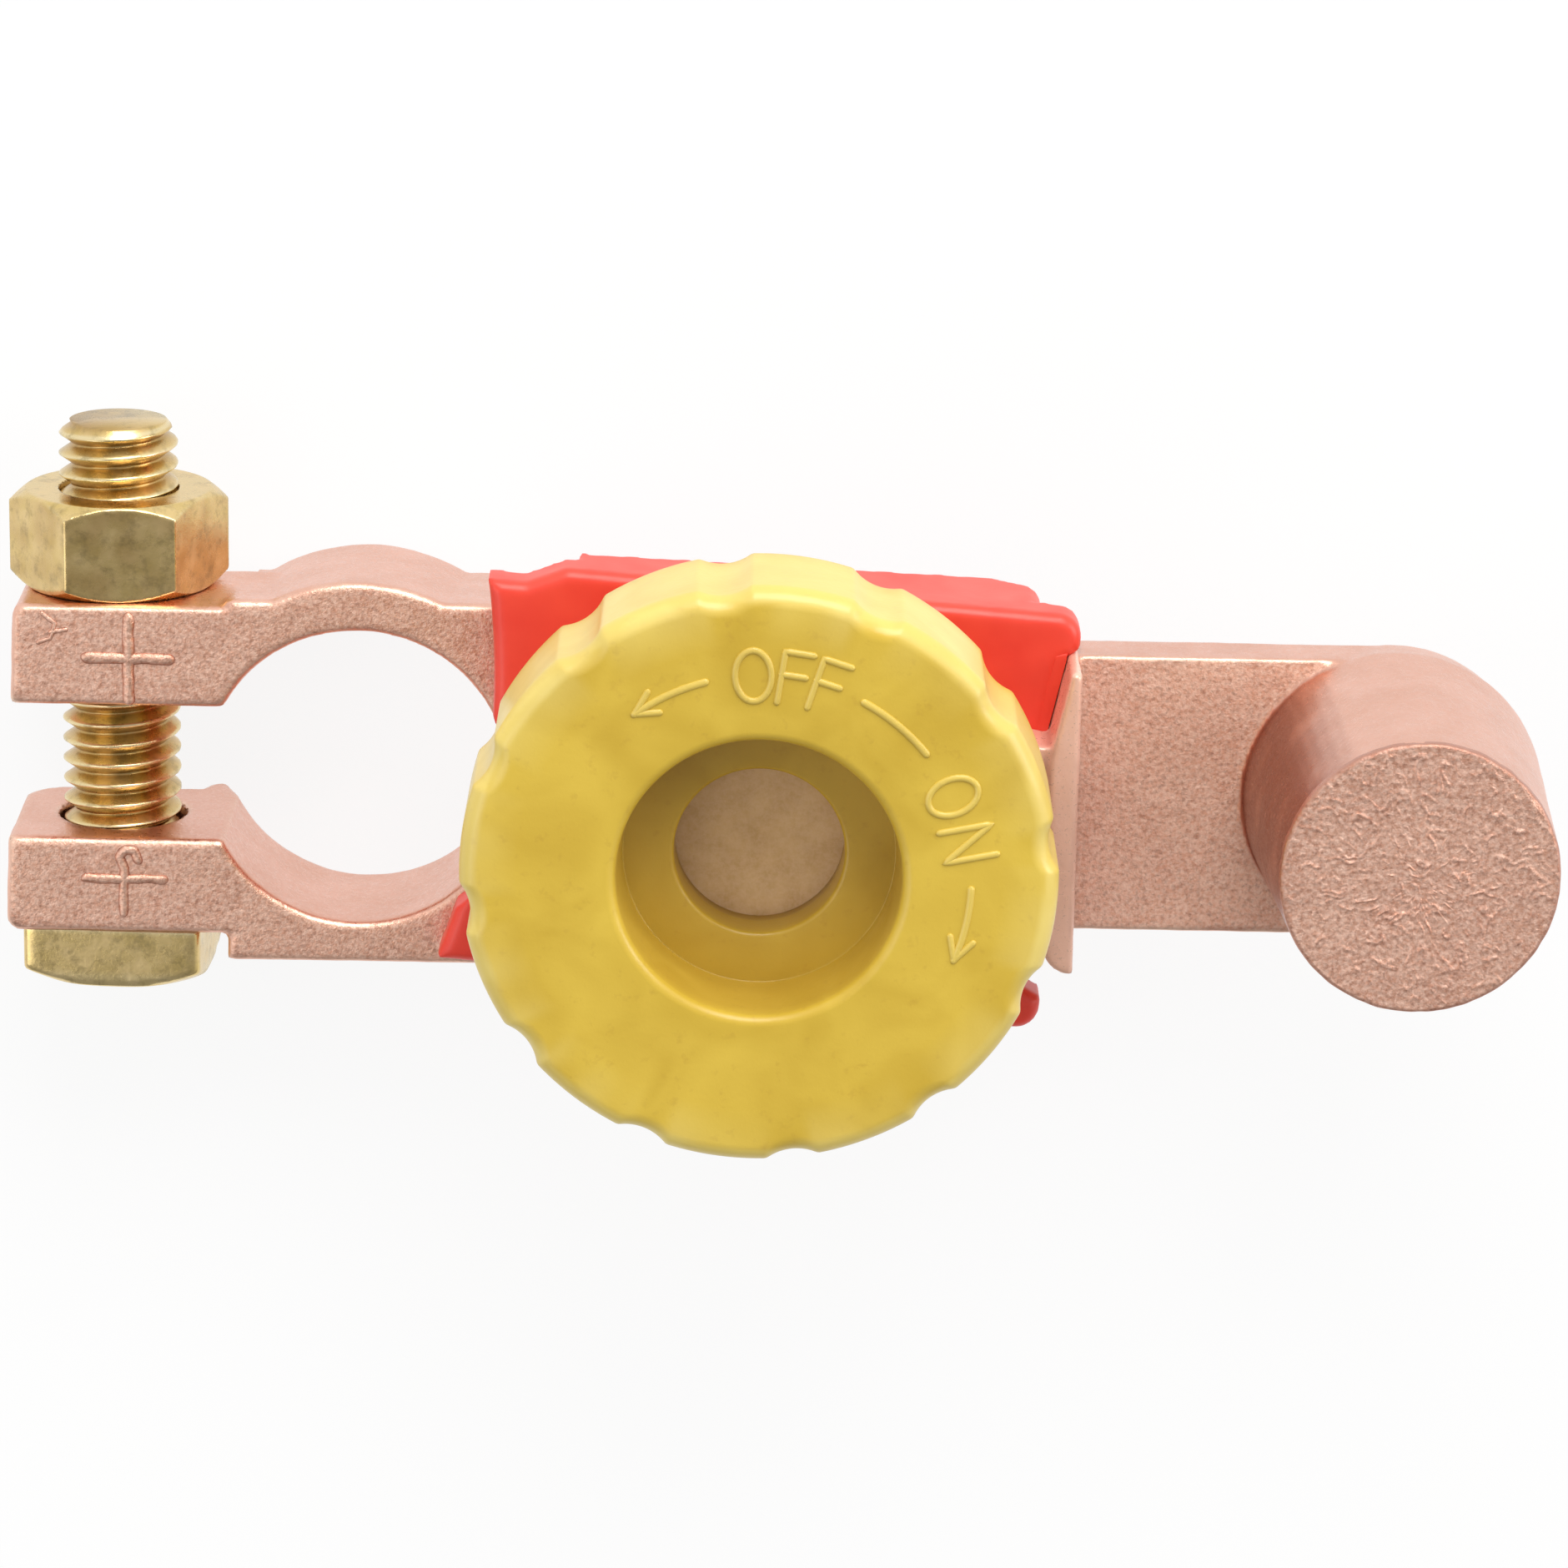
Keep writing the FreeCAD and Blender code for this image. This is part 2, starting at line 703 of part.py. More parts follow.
def make_stud():
    """The contact stud: threaded shank, contact flange and a hexagonal head in the knob."""
    body = new_body("contact_stud", d.switch_reach)
    tail = -d.clamp_depth + d.stud_tail
    groove_low = clip_top - d.clip_thick - d.clip_clearance
    groove = d.stud_radius - d.clip_groove
    turned(body, "Shank", [
        (0, tail),
        (d.stud_radius - 0.5, tail),
        (d.stud_radius, groove_low),
        (groove, groove_low),
        (groove, clip_top + d.clip_clearance),
        (d.stud_radius, clip_top + d.clip_clearance),
        (d.stud_radius, disc_top),
        (d.flange_radius, disc_top),
        (d.flange_radius, flange_top),
        (0, flange_top),
    ])
    sketch = sketch_on(body, "HexSketch", "XY_Plane", flange_top)
    hexagon(sketch, d.hex_half_flats)
    pad(body, sketch, "HexHead", d.hex_thick, down=False)
    return body


def make_disc():
    """The contact disc that the flange presses onto the bridge's eye."""
    body = new_body("contact_disc", d.switch_reach)
    hole = d.stud_radius + d.disc_clearance
    bevel = 0.25
    disc = turned(body, "Disc", [
        (hole, bridge_top),
        (d.disc_radius - bevel, bridge_top),
        (d.disc_radius, bridge_top + bevel),
        (d.disc_radius, disc_top),
        (hole, disc_top),
    ])
    return body


def make_clip():
    """The snap ring on the stud's tail that stops it at the open end of its travel."""
    body = new_body("stud_clip", d.switch_reach)
    low = clip_top - d.clip_thick
    inner = d.stud_radius - d.clip_groove + d.clip_clearance
    turned(body, "Ring", [
        (inner, low),
        (d.clip_radius, low),
        (d.clip_radius, clip_top),
        (inner, clip_top),
    ])
    doc.recompute()
    sketch = sketch_on(body, "MouthSketch", "XY_Plane")
    outline(sketch, [
        (0, -d.clip_slot_half),
        (d.clip_radius + 1, -d.clip_slot_half),
        (d.clip_radius + 1, d.clip_slot_half),
        (0, d.clip_slot_half),
    ])
    cut(body, sketch, "Mouth")
    return body


def make_knob():
    """The moulded knob: lobed rim, recessed window over the stud, cored and ribbed below."""
    body = new_body("knob", d.switch_reach)
    floor = knob_top - d.recess_depth
    hub_under = flange_top + d.hub_gap
    core_top = rim_under + d.knob_core
    knob = turned(body, "Rim", [
        (d.window_radius, hub_under),
        (d.hub_radius, hub_under),
        (d.hub_radius, core_top),
        (d.rim_inner, core_top),
        (d.rim_inner, rim_under),
        (d.knob_radius - d.knob_foot, rim_under),
        (d.knob_radius, rim_under + d.knob_foot),
        (d.knob_radius, knob_top),
        (d.recess_radius, knob_top),
        (d.recess_floor, floor),
        (d.window_radius, floor),
    ])
    sketch = sketch_on(body, "CoreRibSketch", "XY_Plane", core_top)
    outline(sketch, [
        (d.hub_radius - 1, -d.knob_rib_half),
        (d.rim_inner + 1, -d.knob_rib_half),
        (d.rim_inner + 1, d.knob_rib_half),
        (d.hub_radius - 1, d.knob_rib_half),
    ])
    rib = pad(body, sketch, "CoreRib", d.knob_core - 1)
    ribs = body.newObject("PartDesign::PolarPattern", "CoreRibs")
    ribs.Originals = [rib]
    ribs.Axis = (sketch, ["N_Axis"])
    ribs.Angle = 360
    ribs.Occurrences = 6
    body.Tip = ribs
    doc.recompute()

    dip_centre = d.knob_radius - d.lobe_dip + d.lobe_cut
    sketch = sketch_on(body, "DipSketch", "XY_Plane")
    disk(sketch, d.lobe_cut, dip_centre)
    sketch.AttachmentOffset = Placement(Vector(0, 0, 0), Rotation(Vector(0, 0, 1), d.lobe_phase.value))
    bind(sketch, "AttachmentOffset.Rotation.Angle", d.lobe_phase)
    dip = cut(body, sketch, "Dip")
    dips = body.newObject("PartDesign::PolarPattern", "Dips")
    dips.Originals = [dip]
    dips.Axis = (sketch, ["N_Axis"])
    dips.Angle = 360
    bind(dips, "Occurrences", d.lobe_count)
    body.Tip = dips
    doc.recompute()

    # The stud's head sits in a matching pocket in the hub
    sketch = sketch_on(body, "HexPocketSketch", "XY_Plane", hub_under)
    hexagon(sketch, d.hex_half_flats + d.hub_gap)
    pocket = cut(body, sketch, "HexPocket", stud_top - hub_under + d.hub_gap, down=True)

    top = knob_top.value

    def rim_edge(edge):
        box = edge.BoundBox
        farthest = max(abs(box.XMax), abs(box.XMin), abs(box.YMax), abs(box.YMin))
        return flat_at(edge, top) and farthest > d.recess_radius.value * 1.5

    last = round_edges(body, "RimRound", pocket, d.knob_round, rim_edge)

    def lip_edge(edge):
        return flat_at(edge, top) and edge.BoundBox.XLength < d.recess_radius.value * 2.1

    round_edges(body, "RecessLip", last, d.recess_lip, lip_edge)
    return body


def make_bolt():
    """The clamp bolt: a square head under the lower jaw, drawn along the body's z axis."""
    body = new_body("clamp_bolt", -d.bolt_reach, -d.jaw_bottom, -d.bolt_drop)
    body.Placement.Rotation = Rotation(Vector(-1, 0, 0), 90)
    reach = d.jaw_bottom + d.bolt_top
    turned(body, "Shank", [
        (0, zero),
        (d.bolt_radius, zero),
        (d.bolt_radius, reach - d.bolt_point),
        (d.bolt_radius - d.bolt_point * 0.8, reach),
        (0, reach),
    ])
    sketch = sketch_on(body, "HeadSketch", "XY_Plane")
    outline(sketch, [
        (-d.head_half, -d.head_half),
        (d.head_half, -d.head_half),
        (d.head_half, d.head_half),
        (-d.head_half, d.head_half),
    ])
    sketch.AttachmentOffset = Placement(Vector(0, 0, 0), Rotation(Vector(0, 0, 1), d.head_turn.value))
    bind(sketch, "AttachmentOffset.Rotation.Angle", d.head_turn)
    pad(body, sketch, "Head", d.head_thick)
    doc.recompute()
    corner = d.head_half * 2 ** 0.5
    sketch = sketch_on(body, "CrownSketch", "XZ_Plane")
    outline(sketch, [
        (d.head_half, -d.head_thick),
        (corner + 0.1, -d.head_thick),
        (corner + 0.1, -d.head_thick + d.head_crown),
    ])
    crown = body.newObject("PartDesign::Groove", "HeadCrown")
    crown.Profile = sketch
    crown.ReferenceAxis = (sketch, ["V_Axis"])
    crown.Angle = 360
    return body


def make_nut():
    """The clamp nut, drawn along the body's z axis, with both faces chamfered."""
    body = new_body("clamp_nut", -d.bolt_reach, d.jaw_top, -d.bolt_drop)
    body.Placement.Rotation = Rotation(Vector(-1, 0, 0), 90)
    sketch = sketch_on(body, "HexSketch", "XY_Plane")
    hexagon(sketch, d.nut_half_flats)
    sketch.AttachmentOffset = Placement(Vector(0, 0, 0), Rotation(Vector(0, 0, 1), d.nut_turn.value))
    bind(sketch, "AttachmentOffset.Rotation.Angle", d.nut_turn)
    pad(body, sketch, "Hex", d.nut_thick, down=False)
    doc.recompute()
    corner = d.nut_half_flats * (2 / 3 ** 0.5)
    flat = d.nut_half_flats - 0.15
    run = corner - flat
    sketch = sketch_on(body, "ChamferSketch", "XZ_Plane")
    outline(sketch, [
        (flat, zero),
        (corner + 0.1, zero),
        (corner + 0.1, d.nut_chamfer),
    ])
    outline(sketch, [
        (flat, d.nut_thick),
        (corner + 0.1, d.nut_thick - d.nut_chamfer),
        (corner + 0.1, d.nut_thick),
    ])
    chamfer = body.newObject("PartDesign::Groove", "Chamfers")
    chamfer.Profile = sketch
    chamfer.ReferenceAxis = (sketch, ["V_Axis"])
    chamfer.Angle = 360
    doc.recompute()
    sketch = sketch_on(body, "HoleSketch", "XY_Plane")
    disk(sketch, d.bolt_radius + d.thread_clearance)
    cut(body, sketch, "ThreadHole")
    return body


bodies = [
    make_clamp(),
    make_arm(),
    make_insulator(),
    make_insert(),
    make_stud(),
    make_disc(),
    make_clip(),
    make_knob(),
    make_bolt(),
    make_nut(),
]
doc.recompute()

for thing in doc.Objects:
    if "Invalid" in thing.State or "Error" in thing.State:
        raise RuntimeError(f"{thing.Name} did not build: {thing.State}")
os.makedirs("parts", exist_ok=True)
for body in bodies:
    shape = body.Shape
    if shape.isNull() or not shape.isValid() or len(shape.Solids) != 1:
        raise RuntimeError(f"{body.Label} is not one valid solid")
    shape.exportStep(f"parts/{body.Label}.step")
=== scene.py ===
import math

import bmesh
import bpy
import numpy as np
from mathutils import Matrix, Vector, noise


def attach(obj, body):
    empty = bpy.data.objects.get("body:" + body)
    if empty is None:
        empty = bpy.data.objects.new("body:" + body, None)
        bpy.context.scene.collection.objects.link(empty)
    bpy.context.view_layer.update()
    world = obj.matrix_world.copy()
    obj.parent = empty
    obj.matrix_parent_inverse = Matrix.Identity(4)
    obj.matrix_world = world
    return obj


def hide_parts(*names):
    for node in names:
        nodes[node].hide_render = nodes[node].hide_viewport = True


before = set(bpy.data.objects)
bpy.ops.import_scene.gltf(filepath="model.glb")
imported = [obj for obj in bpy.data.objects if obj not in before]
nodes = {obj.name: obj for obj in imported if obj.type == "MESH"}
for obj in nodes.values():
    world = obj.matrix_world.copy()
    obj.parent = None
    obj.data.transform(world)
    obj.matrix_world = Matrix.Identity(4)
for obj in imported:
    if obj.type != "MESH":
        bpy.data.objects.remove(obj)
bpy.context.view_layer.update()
scene = bpy.context.scene

MM = 0.001
# Heights in the row frame: the castings' front face, and the floor that they lie on
FRONT = 7.0 * MM
FLOOR = -7.0 * MM
# The knob's axis and the post's lie this far along
KNOB_X = 26.9 * MM
POST_X = 69.1 * MM
# The bolt's axis, which runs along Y
BOLT_X, BOLT_Z = -16.4 * MM, 0.1 * MM
# Points nearer to each other than this become one, in metres
WELD = 1e-7
# Smoothing of a remeshed shape: shrinking and growing steps in turn, so that flats and sizes stay
SMOOTHING_STEPS, SHRINK, GROW = 4, 0.5, -0.52


# ------- small helpers -------
def linear(r, g, b):
    """A colour given in 0..255 as it looks on a screen, as the linear value a shader takes."""
    out = []
    for c in (r, g, b):
        c /= 255
        out.append(c / 12.92 if c <= 0.04045 else ((c + 0.055) / 1.055) ** 2.4)
    return (*out, 1.0)


def mesh_from(name, points, faces):
    """A mesh from points in metres and faces."""
    mesh = bpy.data.meshes.new(name)
    mesh.from_pydata([tuple(p) for p in points], [], faces)
    mesh.update()
    return mesh


def make_object(name, verts, faces, material, body, smooth=True, replaces=()):
    """A mesh object from points in metres, riding on a body."""
    mesh = mesh_from(name, verts, faces)
    return finish_piece(name, mesh, material, body, smooth, replaces)


def finish_piece(name, mesh, material, body, smooth=True, replaces=()):
    """Turns faces outward, links the piece, puts it on its body, and hides the CAD nodes that it
    stands for.
    """
    work = bmesh.new()
    work.from_mesh(mesh)
    bmesh.ops.remove_doubles(work, verts=work.verts, dist=WELD)
    bmesh.ops.recalc_face_normals(work, faces=work.faces)
    work.to_mesh(mesh)
    work.free()
    mesh.polygons.foreach_set("use_smooth", [smooth] * len(mesh.polygons))
    mesh.materials.clear()
    mesh.materials.append(material)
    piece = bpy.data.objects.new(name, mesh)
    scene.collection.objects.link(piece)
    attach(piece, body)
    for node in replaces:
        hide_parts(node)
    return piece


def grid_faces(rows, columns, closed_rows=False, closed_columns=True):
    """Quads between neighbouring points of a grid laid out row by row."""
    faces = []
    for i in range(rows if closed_rows else rows - 1):
        for j in range(columns if closed_columns else columns - 1):
            a = i * columns + j
            b = i * columns + (j + 1) % columns
            c = ((i + 1) % rows) * columns + (j + 1) % columns
            e = ((i + 1) % rows) * columns + j
            faces.append((a, b, c, e))
    return faces


def evaluated_mesh(source):
    """A new mesh with the object's modifiers applied."""
    bpy.context.view_layer.update()
    graph = bpy.context.evaluated_depsgraph_get()
    return bpy.data.meshes.new_from_object(source.evaluated_get(graph))


def remeshed(node, voxel):
    """A CAD node's shape as an even mesh with soft edges: its points, faces and edges."""
    mesh = nodes[node].data.copy()
    work = bmesh.new()
    work.from_mesh(mesh)
    bmesh.ops.remove_doubles(work, verts=work.verts, dist=WELD)
    work.to_mesh(mesh)
    work.free()
    source = bpy.data.objects.new("source_" + node, mesh)
    scene.collection.objects.link(source)
    grid = source.modifiers.new("voxels", "REMESH")
    grid.mode = "VOXEL"
    grid.voxel_size = voxel
    even = evaluated_mesh(source)
    points = np.zeros(len(even.vertices) * 3)
    even.vertices.foreach_get("co", points)
    points = points.reshape(-1, 3)
    pairs = np.zeros(len(even.edges) * 2, dtype=np.int64)
    even.edges.foreach_get("vertices", pairs)
    pairs = pairs.reshape(-1, 2)
    faces = [tuple(p.vertices) for p in even.polygons]
    for step in range(SMOOTHING_STEPS):
        total = np.zeros_like(points)
        count = np.zeros(len(points))
        np.add.at(total, pairs[:, 0], points[pairs[:, 1]])
        np.add.at(total, pairs[:, 1], points[pairs[:, 0]])
        np.add.at(count, pairs[:, 0], 1)
        np.add.at(count, pairs[:, 1], 1)
        middle = total / count[:, None]
        weight = SHRINK if step % 2 == 0 else GROW
        points = points + weight * (middle - points)
    bpy.data.objects.remove(source)
    bpy.data.meshes.remove(even)
    return points, faces, pairs


def vertex_normals(points, faces):
    """Outward directions at the points of a mesh, as an array."""
    mesh = mesh_from("normals", points, faces)
    out = np.zeros(len(points) * 3)
    mesh.vertices.foreach_get("normal", out)
    bpy.data.meshes.remove(mesh)
    return out.reshape(-1, 3)


def bend_at(points, pairs, normals):
    """How convex the mesh is at each point: above 0 on an outer edge, below 0 in a corner."""
    total = np.zeros(len(points))
    count = np.zeros(len(points))
    step = points[pairs[:, 1]] - points[pairs[:, 0]]
    length = np.linalg.norm(step, axis=1) + 1e-12
    np.add.at(total, pairs[:, 0], -(step * normals[pairs[:, 0]]).sum(1) / length)
    np.add.at(total, pairs[:, 1], (step * normals[pairs[:, 1]]).sum(1) / length)
    np.add.at(count, pairs[:, 0], 1)
    np.add.at(count, pairs[:, 1], 1)
    return total / count


def blur(values, pairs, passes):
    """Evens out values between neighbouring points."""
    for _ in range(passes):
        total = values.copy()
        count = np.ones(len(values))
        np.add.at(total, pairs[:, 0], values[pairs[:, 1]])
        np.add.at(total, pairs[:, 1], values[pairs[:, 0]])
        np.add.at(count, pairs[:, 0], 1)
        np.add.at(count, pairs[:, 1], 1)
        values = total / count
    return values


def noise_at(points, scale, seed):
    """Smooth noise in about -1..1 at each point; scale is the size of its lumps in metres."""
    shift = Vector((seed * 17.3, seed * 5.1, seed * 11.7))
    return np.array([noise.noise(Vector(p) / scale + shift) for p in points])


def store(mesh, name, values):
    """Keeps a number for each point of a mesh, which its material reads by name."""
    layer = mesh.attributes.new(name, "FLOAT", "POINT")
    layer.data.foreach_set("value", np.asarray(values, dtype=np.float32))


def places_of(piece):
    """Where the points of a piece are, as an array in metres."""
    return np.array([v.co for v in piece.data.vertices])


def held(values):
    """Values held within 0..1."""
    return np.clip(values, 0, 1)


def rubbed(bend, pairs):
    """1 along a shape's outer edges and 0 on its flats."""
    return held((blur(bend, pairs, 1) - 0.05) / 0.20)


def arc(cx, cz, radius, start, end, count):
    """Places (radius, height) on an arc in a section; angles in degrees."""
    out = []
    for i in range(count + 1):
        t = math.radians(start + (end - start) * i / count)
        out.append((cx + radius * math.cos(t), cz + radius * math.sin(t)))
    return out


# ------- materials -------
class Wiring:
    """A node tree being wired: each call adds a node and links it."""

    def __init__(self, tree):
        self.tree = tree

    def put(self, socket, value):
        """Links another node's output to an input, or sets the input's own value."""
        if isinstance(value, bpy.types.NodeSocket):
            self.tree.links.new(value, socket)
        else:
            socket.default_value = value

    def math(self, kind, a, b):
        """One sum, product or the like of two values."""
        node = self.tree.nodes.new("ShaderNodeMath")
        node.operation = kind
        self.put(node.inputs[0], a)
        self.put(node.inputs[1], b)
        return node.outputs[0]

    def ramp(self, value, low, high, to_low=0.0, to_high=1.0, kind="LINEAR"):
        """Maps low..high to to_low..to_high and holds beyond."""
        node = self.tree.nodes.new("ShaderNodeMapRange")
        node.interpolation_type = kind
        self.put(node.inputs["Value"], value)
        node.inputs["From Min"].default_value = low
        node.inputs["From Max"].default_value = high
        node.inputs["To Min"].default_value = to_low
        node.inputs["To Max"].default_value = to_high
        return node.outputs["Result"]

    def on_rays(self, *kinds):
        """1 for rays of either of two kinds, 0 for the others."""
        path = self.tree.nodes.new("ShaderNodeLightPath")
        first, second = (path.outputs[f"Is {kind} Ray"] for kind in kinds)
        return self.math("MAXIMUM", first, second)


class Shader(Wiring):
    """A piece's material, placed by the piece's own coordinates."""

    def __init__(self, name):
        self.material = bpy.data.materials.new(name)
        self.material.use_nodes = True
        super().__init__(self.material.node_tree)
        self.main = self.tree.nodes["Principled BSDF"]
        self.place = self.tree.nodes.new("ShaderNodeTexCoord").outputs["Object"]

    def set(self, **values):
        """Gives inputs of the surface their values, by name with _ for a space."""
        for name, value in values.items():
            self.put(self.main.inputs[name.replace("_", " ")], value)

    def noise(self, size, detail, rough, distort=0.0, place=None):
        """Noise with lumps of a size in metres, about 0..1."""
        node = self.tree.nodes.new("ShaderNodeTexNoise")
        self.put(node.inputs["Vector"], place or self.place)
        node.inputs["Scale"].default_value = 1 / size
        node.inputs["Detail"].default_value = detail
        node.inputs["Roughness"].default_value = rough
        node.inputs["Distortion"].default_value = distort
        return node.outputs["Fac"]

    def shifted(self, metres):
        """The place moved along, so that one noise differs from another."""
        node = self.tree.nodes.new("ShaderNodeVectorMath")
        node.operation = "ADD"
        self.put(node.inputs[0], self.place)
        node.inputs[1].default_value = (metres, metres, metres)
        return node.outputs["Vector"]

    def mix(self, share, a, b):
        """A colour between a and b."""
        node = self.tree.nodes.new("ShaderNodeMix")
        node.data_type = "RGBA"
        self.put(node.inputs["Factor"], share)
        self.put([i for i in node.inputs if i.name == "A" and i.type == "RGBA"][0], a)
        self.put([i for i in node.inputs if i.name == "B" and i.type == "RGBA"][0], b)
        return [o for o in node.outputs if o.type == "RGBA"][0]

    def tint(self, colour, mask, amount, rgb):
        """The colour drawn towards another, by an amount where the mask is 1."""
        return self.mix(self.math("MULTIPLY", mask, amount), colour, linear(*rgb))

    def stored(self, name):
        """A number that the mesh keeps for each point, held within 0..1."""
        node = self.tree.nodes.new("ShaderNodeAttribute")
        node.attribute_name = name
        return self.ramp(node.outputs["Fac"], 0.0, 1.0)

    def bump(self, height, distance, strength, under=None):
        """A normal for relief of a depth in metres, over another bump if there is one."""
        node = self.tree.nodes.new("ShaderNodeBump")
        self.put(node.inputs["Strength"], strength)
        node.inputs["Distance"].default_value = distance
        self.put(node.inputs["Height"], height)
        if under is not None:
            self.put(node.inputs["Normal"], under)
        return node.outputs["Normal"]


def copper_material():
    """Copper plate on a blasted casting: speckled, mottled, paler where edges are rubbed and where
    a highlight is painted, and darker where shade is painted.
    """
    s = Shader("copper_casting")
    # 1 on the blasted faces along Z, 0 on the smoother walls
    blasted = s.stored("blasted")
    mottle = s.ramp(s.noise(4 * MM, 3.0, 0.6), 0.35, 0.65)
    speckle = s.ramp(s.noise(0.30 * MM, 3.0, 0.7), 0.36, 0.64)
    wall = s.mix(mottle, linear(240, 190, 170), linear(232, 180, 158))
    face = s.mix(mottle, linear(234, 180, 154), linear(224, 166, 140))
    face = s.tint(face, speckle, 0.65, (250, 218, 200))
    pits = s.ramp(s.noise(0.34 * MM, 3.0, 0.6, place=s.shifted(0.37)), 0.48, 0.72)
    face = s.tint(face, pits, 0.55, (158, 104, 84))
    colour = s.mix(blasted, wall, face)
    # Paler where edges are rubbed, and as painted highlight on the riser's front and on the tops of
    # wrinkles and raised marks
    colour = s.tint(colour, s.stored("wear_and_painted_highlight"), 0.8, (248, 226, 204))
    # Painted shade: darker red-brown in inner corners, in thin lines beside rubbed edges, at the
    # feet of raised marks and wrinkles, round the post's end and on the post's side that faces the
    # knob
    colour = s.tint(colour, s.stored("painted_shade"), 0.75, (118, 52, 36))
    rough = s.ramp(speckle, 0.0, 1.0, 0.40, 0.56)
    rough = s.math("SUBTRACT", rough, s.ramp(blasted, 0.0, 1.0, 0.14, 0.0))
    metallic = s.ramp(s.stored("matt"), 0.0, 1.0, 1.0, 0.25)
    s.set(Base_Color=colour, Metallic=metallic, Roughness=rough)
    strength = s.ramp(blasted, 0.0, 1.0, 0.25, 1.0)
    grain = s.bump(s.noise(0.26 * MM, 3.0, 0.65), 0.07 * MM, strength)
    s.set(Normal=s.bump(s.noise(1.3 * MM, 2.0, 0.5), 0.06 * MM, 0.6, grain))
    return s.material


def knob_material():
    """Yellow moulded plastic with a satin sheen, faint flow marks, painted shade in the recess and
    painted highlight on the rim.
    """
    s = Shader("yellow_plastic")
    flow = s.ramp(s.noise(6 * MM, 2.0, 0.5, 0.6), 0.3, 0.7)
    colour = s.mix(flow, linear(214, 182, 68), linear(196, 162, 50))
    dirt = s.ramp(s.noise(0.9 * MM, 3.0, 0.6), 0.60, 0.75)
    colour = s.tint(colour, dirt, 0.25, (168, 124, 44))
    # Painted shade in the recess
    colour = s.tint(colour, s.stored("sunk"), 0.30, (150, 108, 32))
    # Pale cream on the rim's front edge, partly wear and partly painted highlight, and painted
    # highlight on the rim's side wall and the letters' tops
    colour = s.tint(colour, s.stored("wear_and_painted_highlight"), 0.65, (240, 222, 140))
    s.set(Base_Color=colour, Roughness=s.ramp(flow, 0.0, 1.0, 0.28, 0.36))
    fine = s.bump(s.noise(0.35 * MM, 2.0, 0.5), 0.02 * MM, 0.6)
    s.set(Normal=s.bump(s.noise(3 * MM, 1.0, 0.5), 0.05 * MM, 0.5, fine))
    return s.material


def red_material():
    """Red moulded plastic."""
    s = Shader("red_plastic")
    flow = s.ramp(s.noise(5 * MM, 2.0, 0.5, 0.4), 0.3, 0.7)
    colour = s.mix(flow, linear(238, 72, 54), linear(230, 60, 44))
    s.set(Base_Color=colour, Roughness=s.ramp(flow, 0.0, 1.0, 0.34, 0.42))
    s.set(Normal=s.bump(s.noise(0.4 * MM, 2.0, 0.5), 0.01 * MM, 0.5))
    return s.material


def bolt_material():
    """Yellow-passivated steel, brassy, paler on the crests from wear and a painted highlight, and
    darker in the thread as painted shade.
    """
    s = Shader("passivated_steel")
    film = s.ramp(s.noise(1.6 * MM, 3.0, 0.6), 0.3, 0.7)
    colour = s.mix(film, linear(224, 196, 128), linear(236, 208, 150))
    # Painted shade in the thread's roots, and a painted dark reflection on the nut's sides
    colour = s.tint(colour, s.stored("root"), 0.6, (150, 104, 44))
    colour = s.tint(colour, s.stored("wear_and_painted_highlight"), 0.8, (248, 240, 206))
    stain = s.ramp(s.noise(1.1 * MM, 4.0, 0.7), 0.50, 0.68)
    colour = s.tint(colour, stain, 0.45, (140, 122, 84))
    s.set(Base_Color=colour, Metallic=1.0, Roughness=s.ramp(film, 0.0, 1.0, 0.20, 0.34))
    s.set(Normal=s.bump(s.noise(0.30 * MM, 3.0, 0.6), 0.02 * MM, 0.6))
    return s.material


def contact_material():
    """The stud's matt, fine-grained end."""
    s = Shader("contact_metal")
    grain = s.ramp(s.noise(0.35 * MM, 3.0, 0.65), 0.35, 0.65)
    patch = s.ramp(s.noise(1.6 * MM, 2.0, 0.5), 0.35, 0.65)
    colour = s.mix(patch, linear(224, 190, 140), linear(212, 176, 126))
    colour = s.tint(colour, grain, 0.4, (238, 208, 172))
    s.set(Base_Color=colour, Metallic=0.15, Roughness=0.5)
    s.set(Normal=s.bump(s.noise(0.25 * MM, 3.0, 0.6), 0.02 * MM, 0.6))
    return s.material


def steel_material():
    """Blued spring steel."""
    s = Shader("spring_steel")
    film = s.ramp(s.noise(1.2 * MM, 2.0, 0.5), 0.3, 0.7)
    colour = s.mix(film, linear(96, 98, 104), linear(120, 116, 112))
    s.set(Base_Color=colour, Metallic=0.9, Roughness=s.ramp(film, 0.0, 1.0, 0.3, 0.45))
    s.set(Normal=s.bump(s.noise(0.3 * MM, 2.0, 0.5), 0.01 * MM, 0.5))
    return s.material


copper = copper_material()
yellow = knob_material()
red = red_material()
brassy = bolt_material()
contact = contact_material()
steel = steel_material()


# ------- the two castings -------
# The post's wrinkled end is a disc of this radius at this height over the front face, and the
# casting under it stops a little lower (mm)
POST_END_RADIUS, POST_END_HIGH, POST_UNDER_SKIN = 8.98, 18.42, 18.2
# How far from the knob's axis the riser's front reaches (mm)
RISER_OUT = 20.9


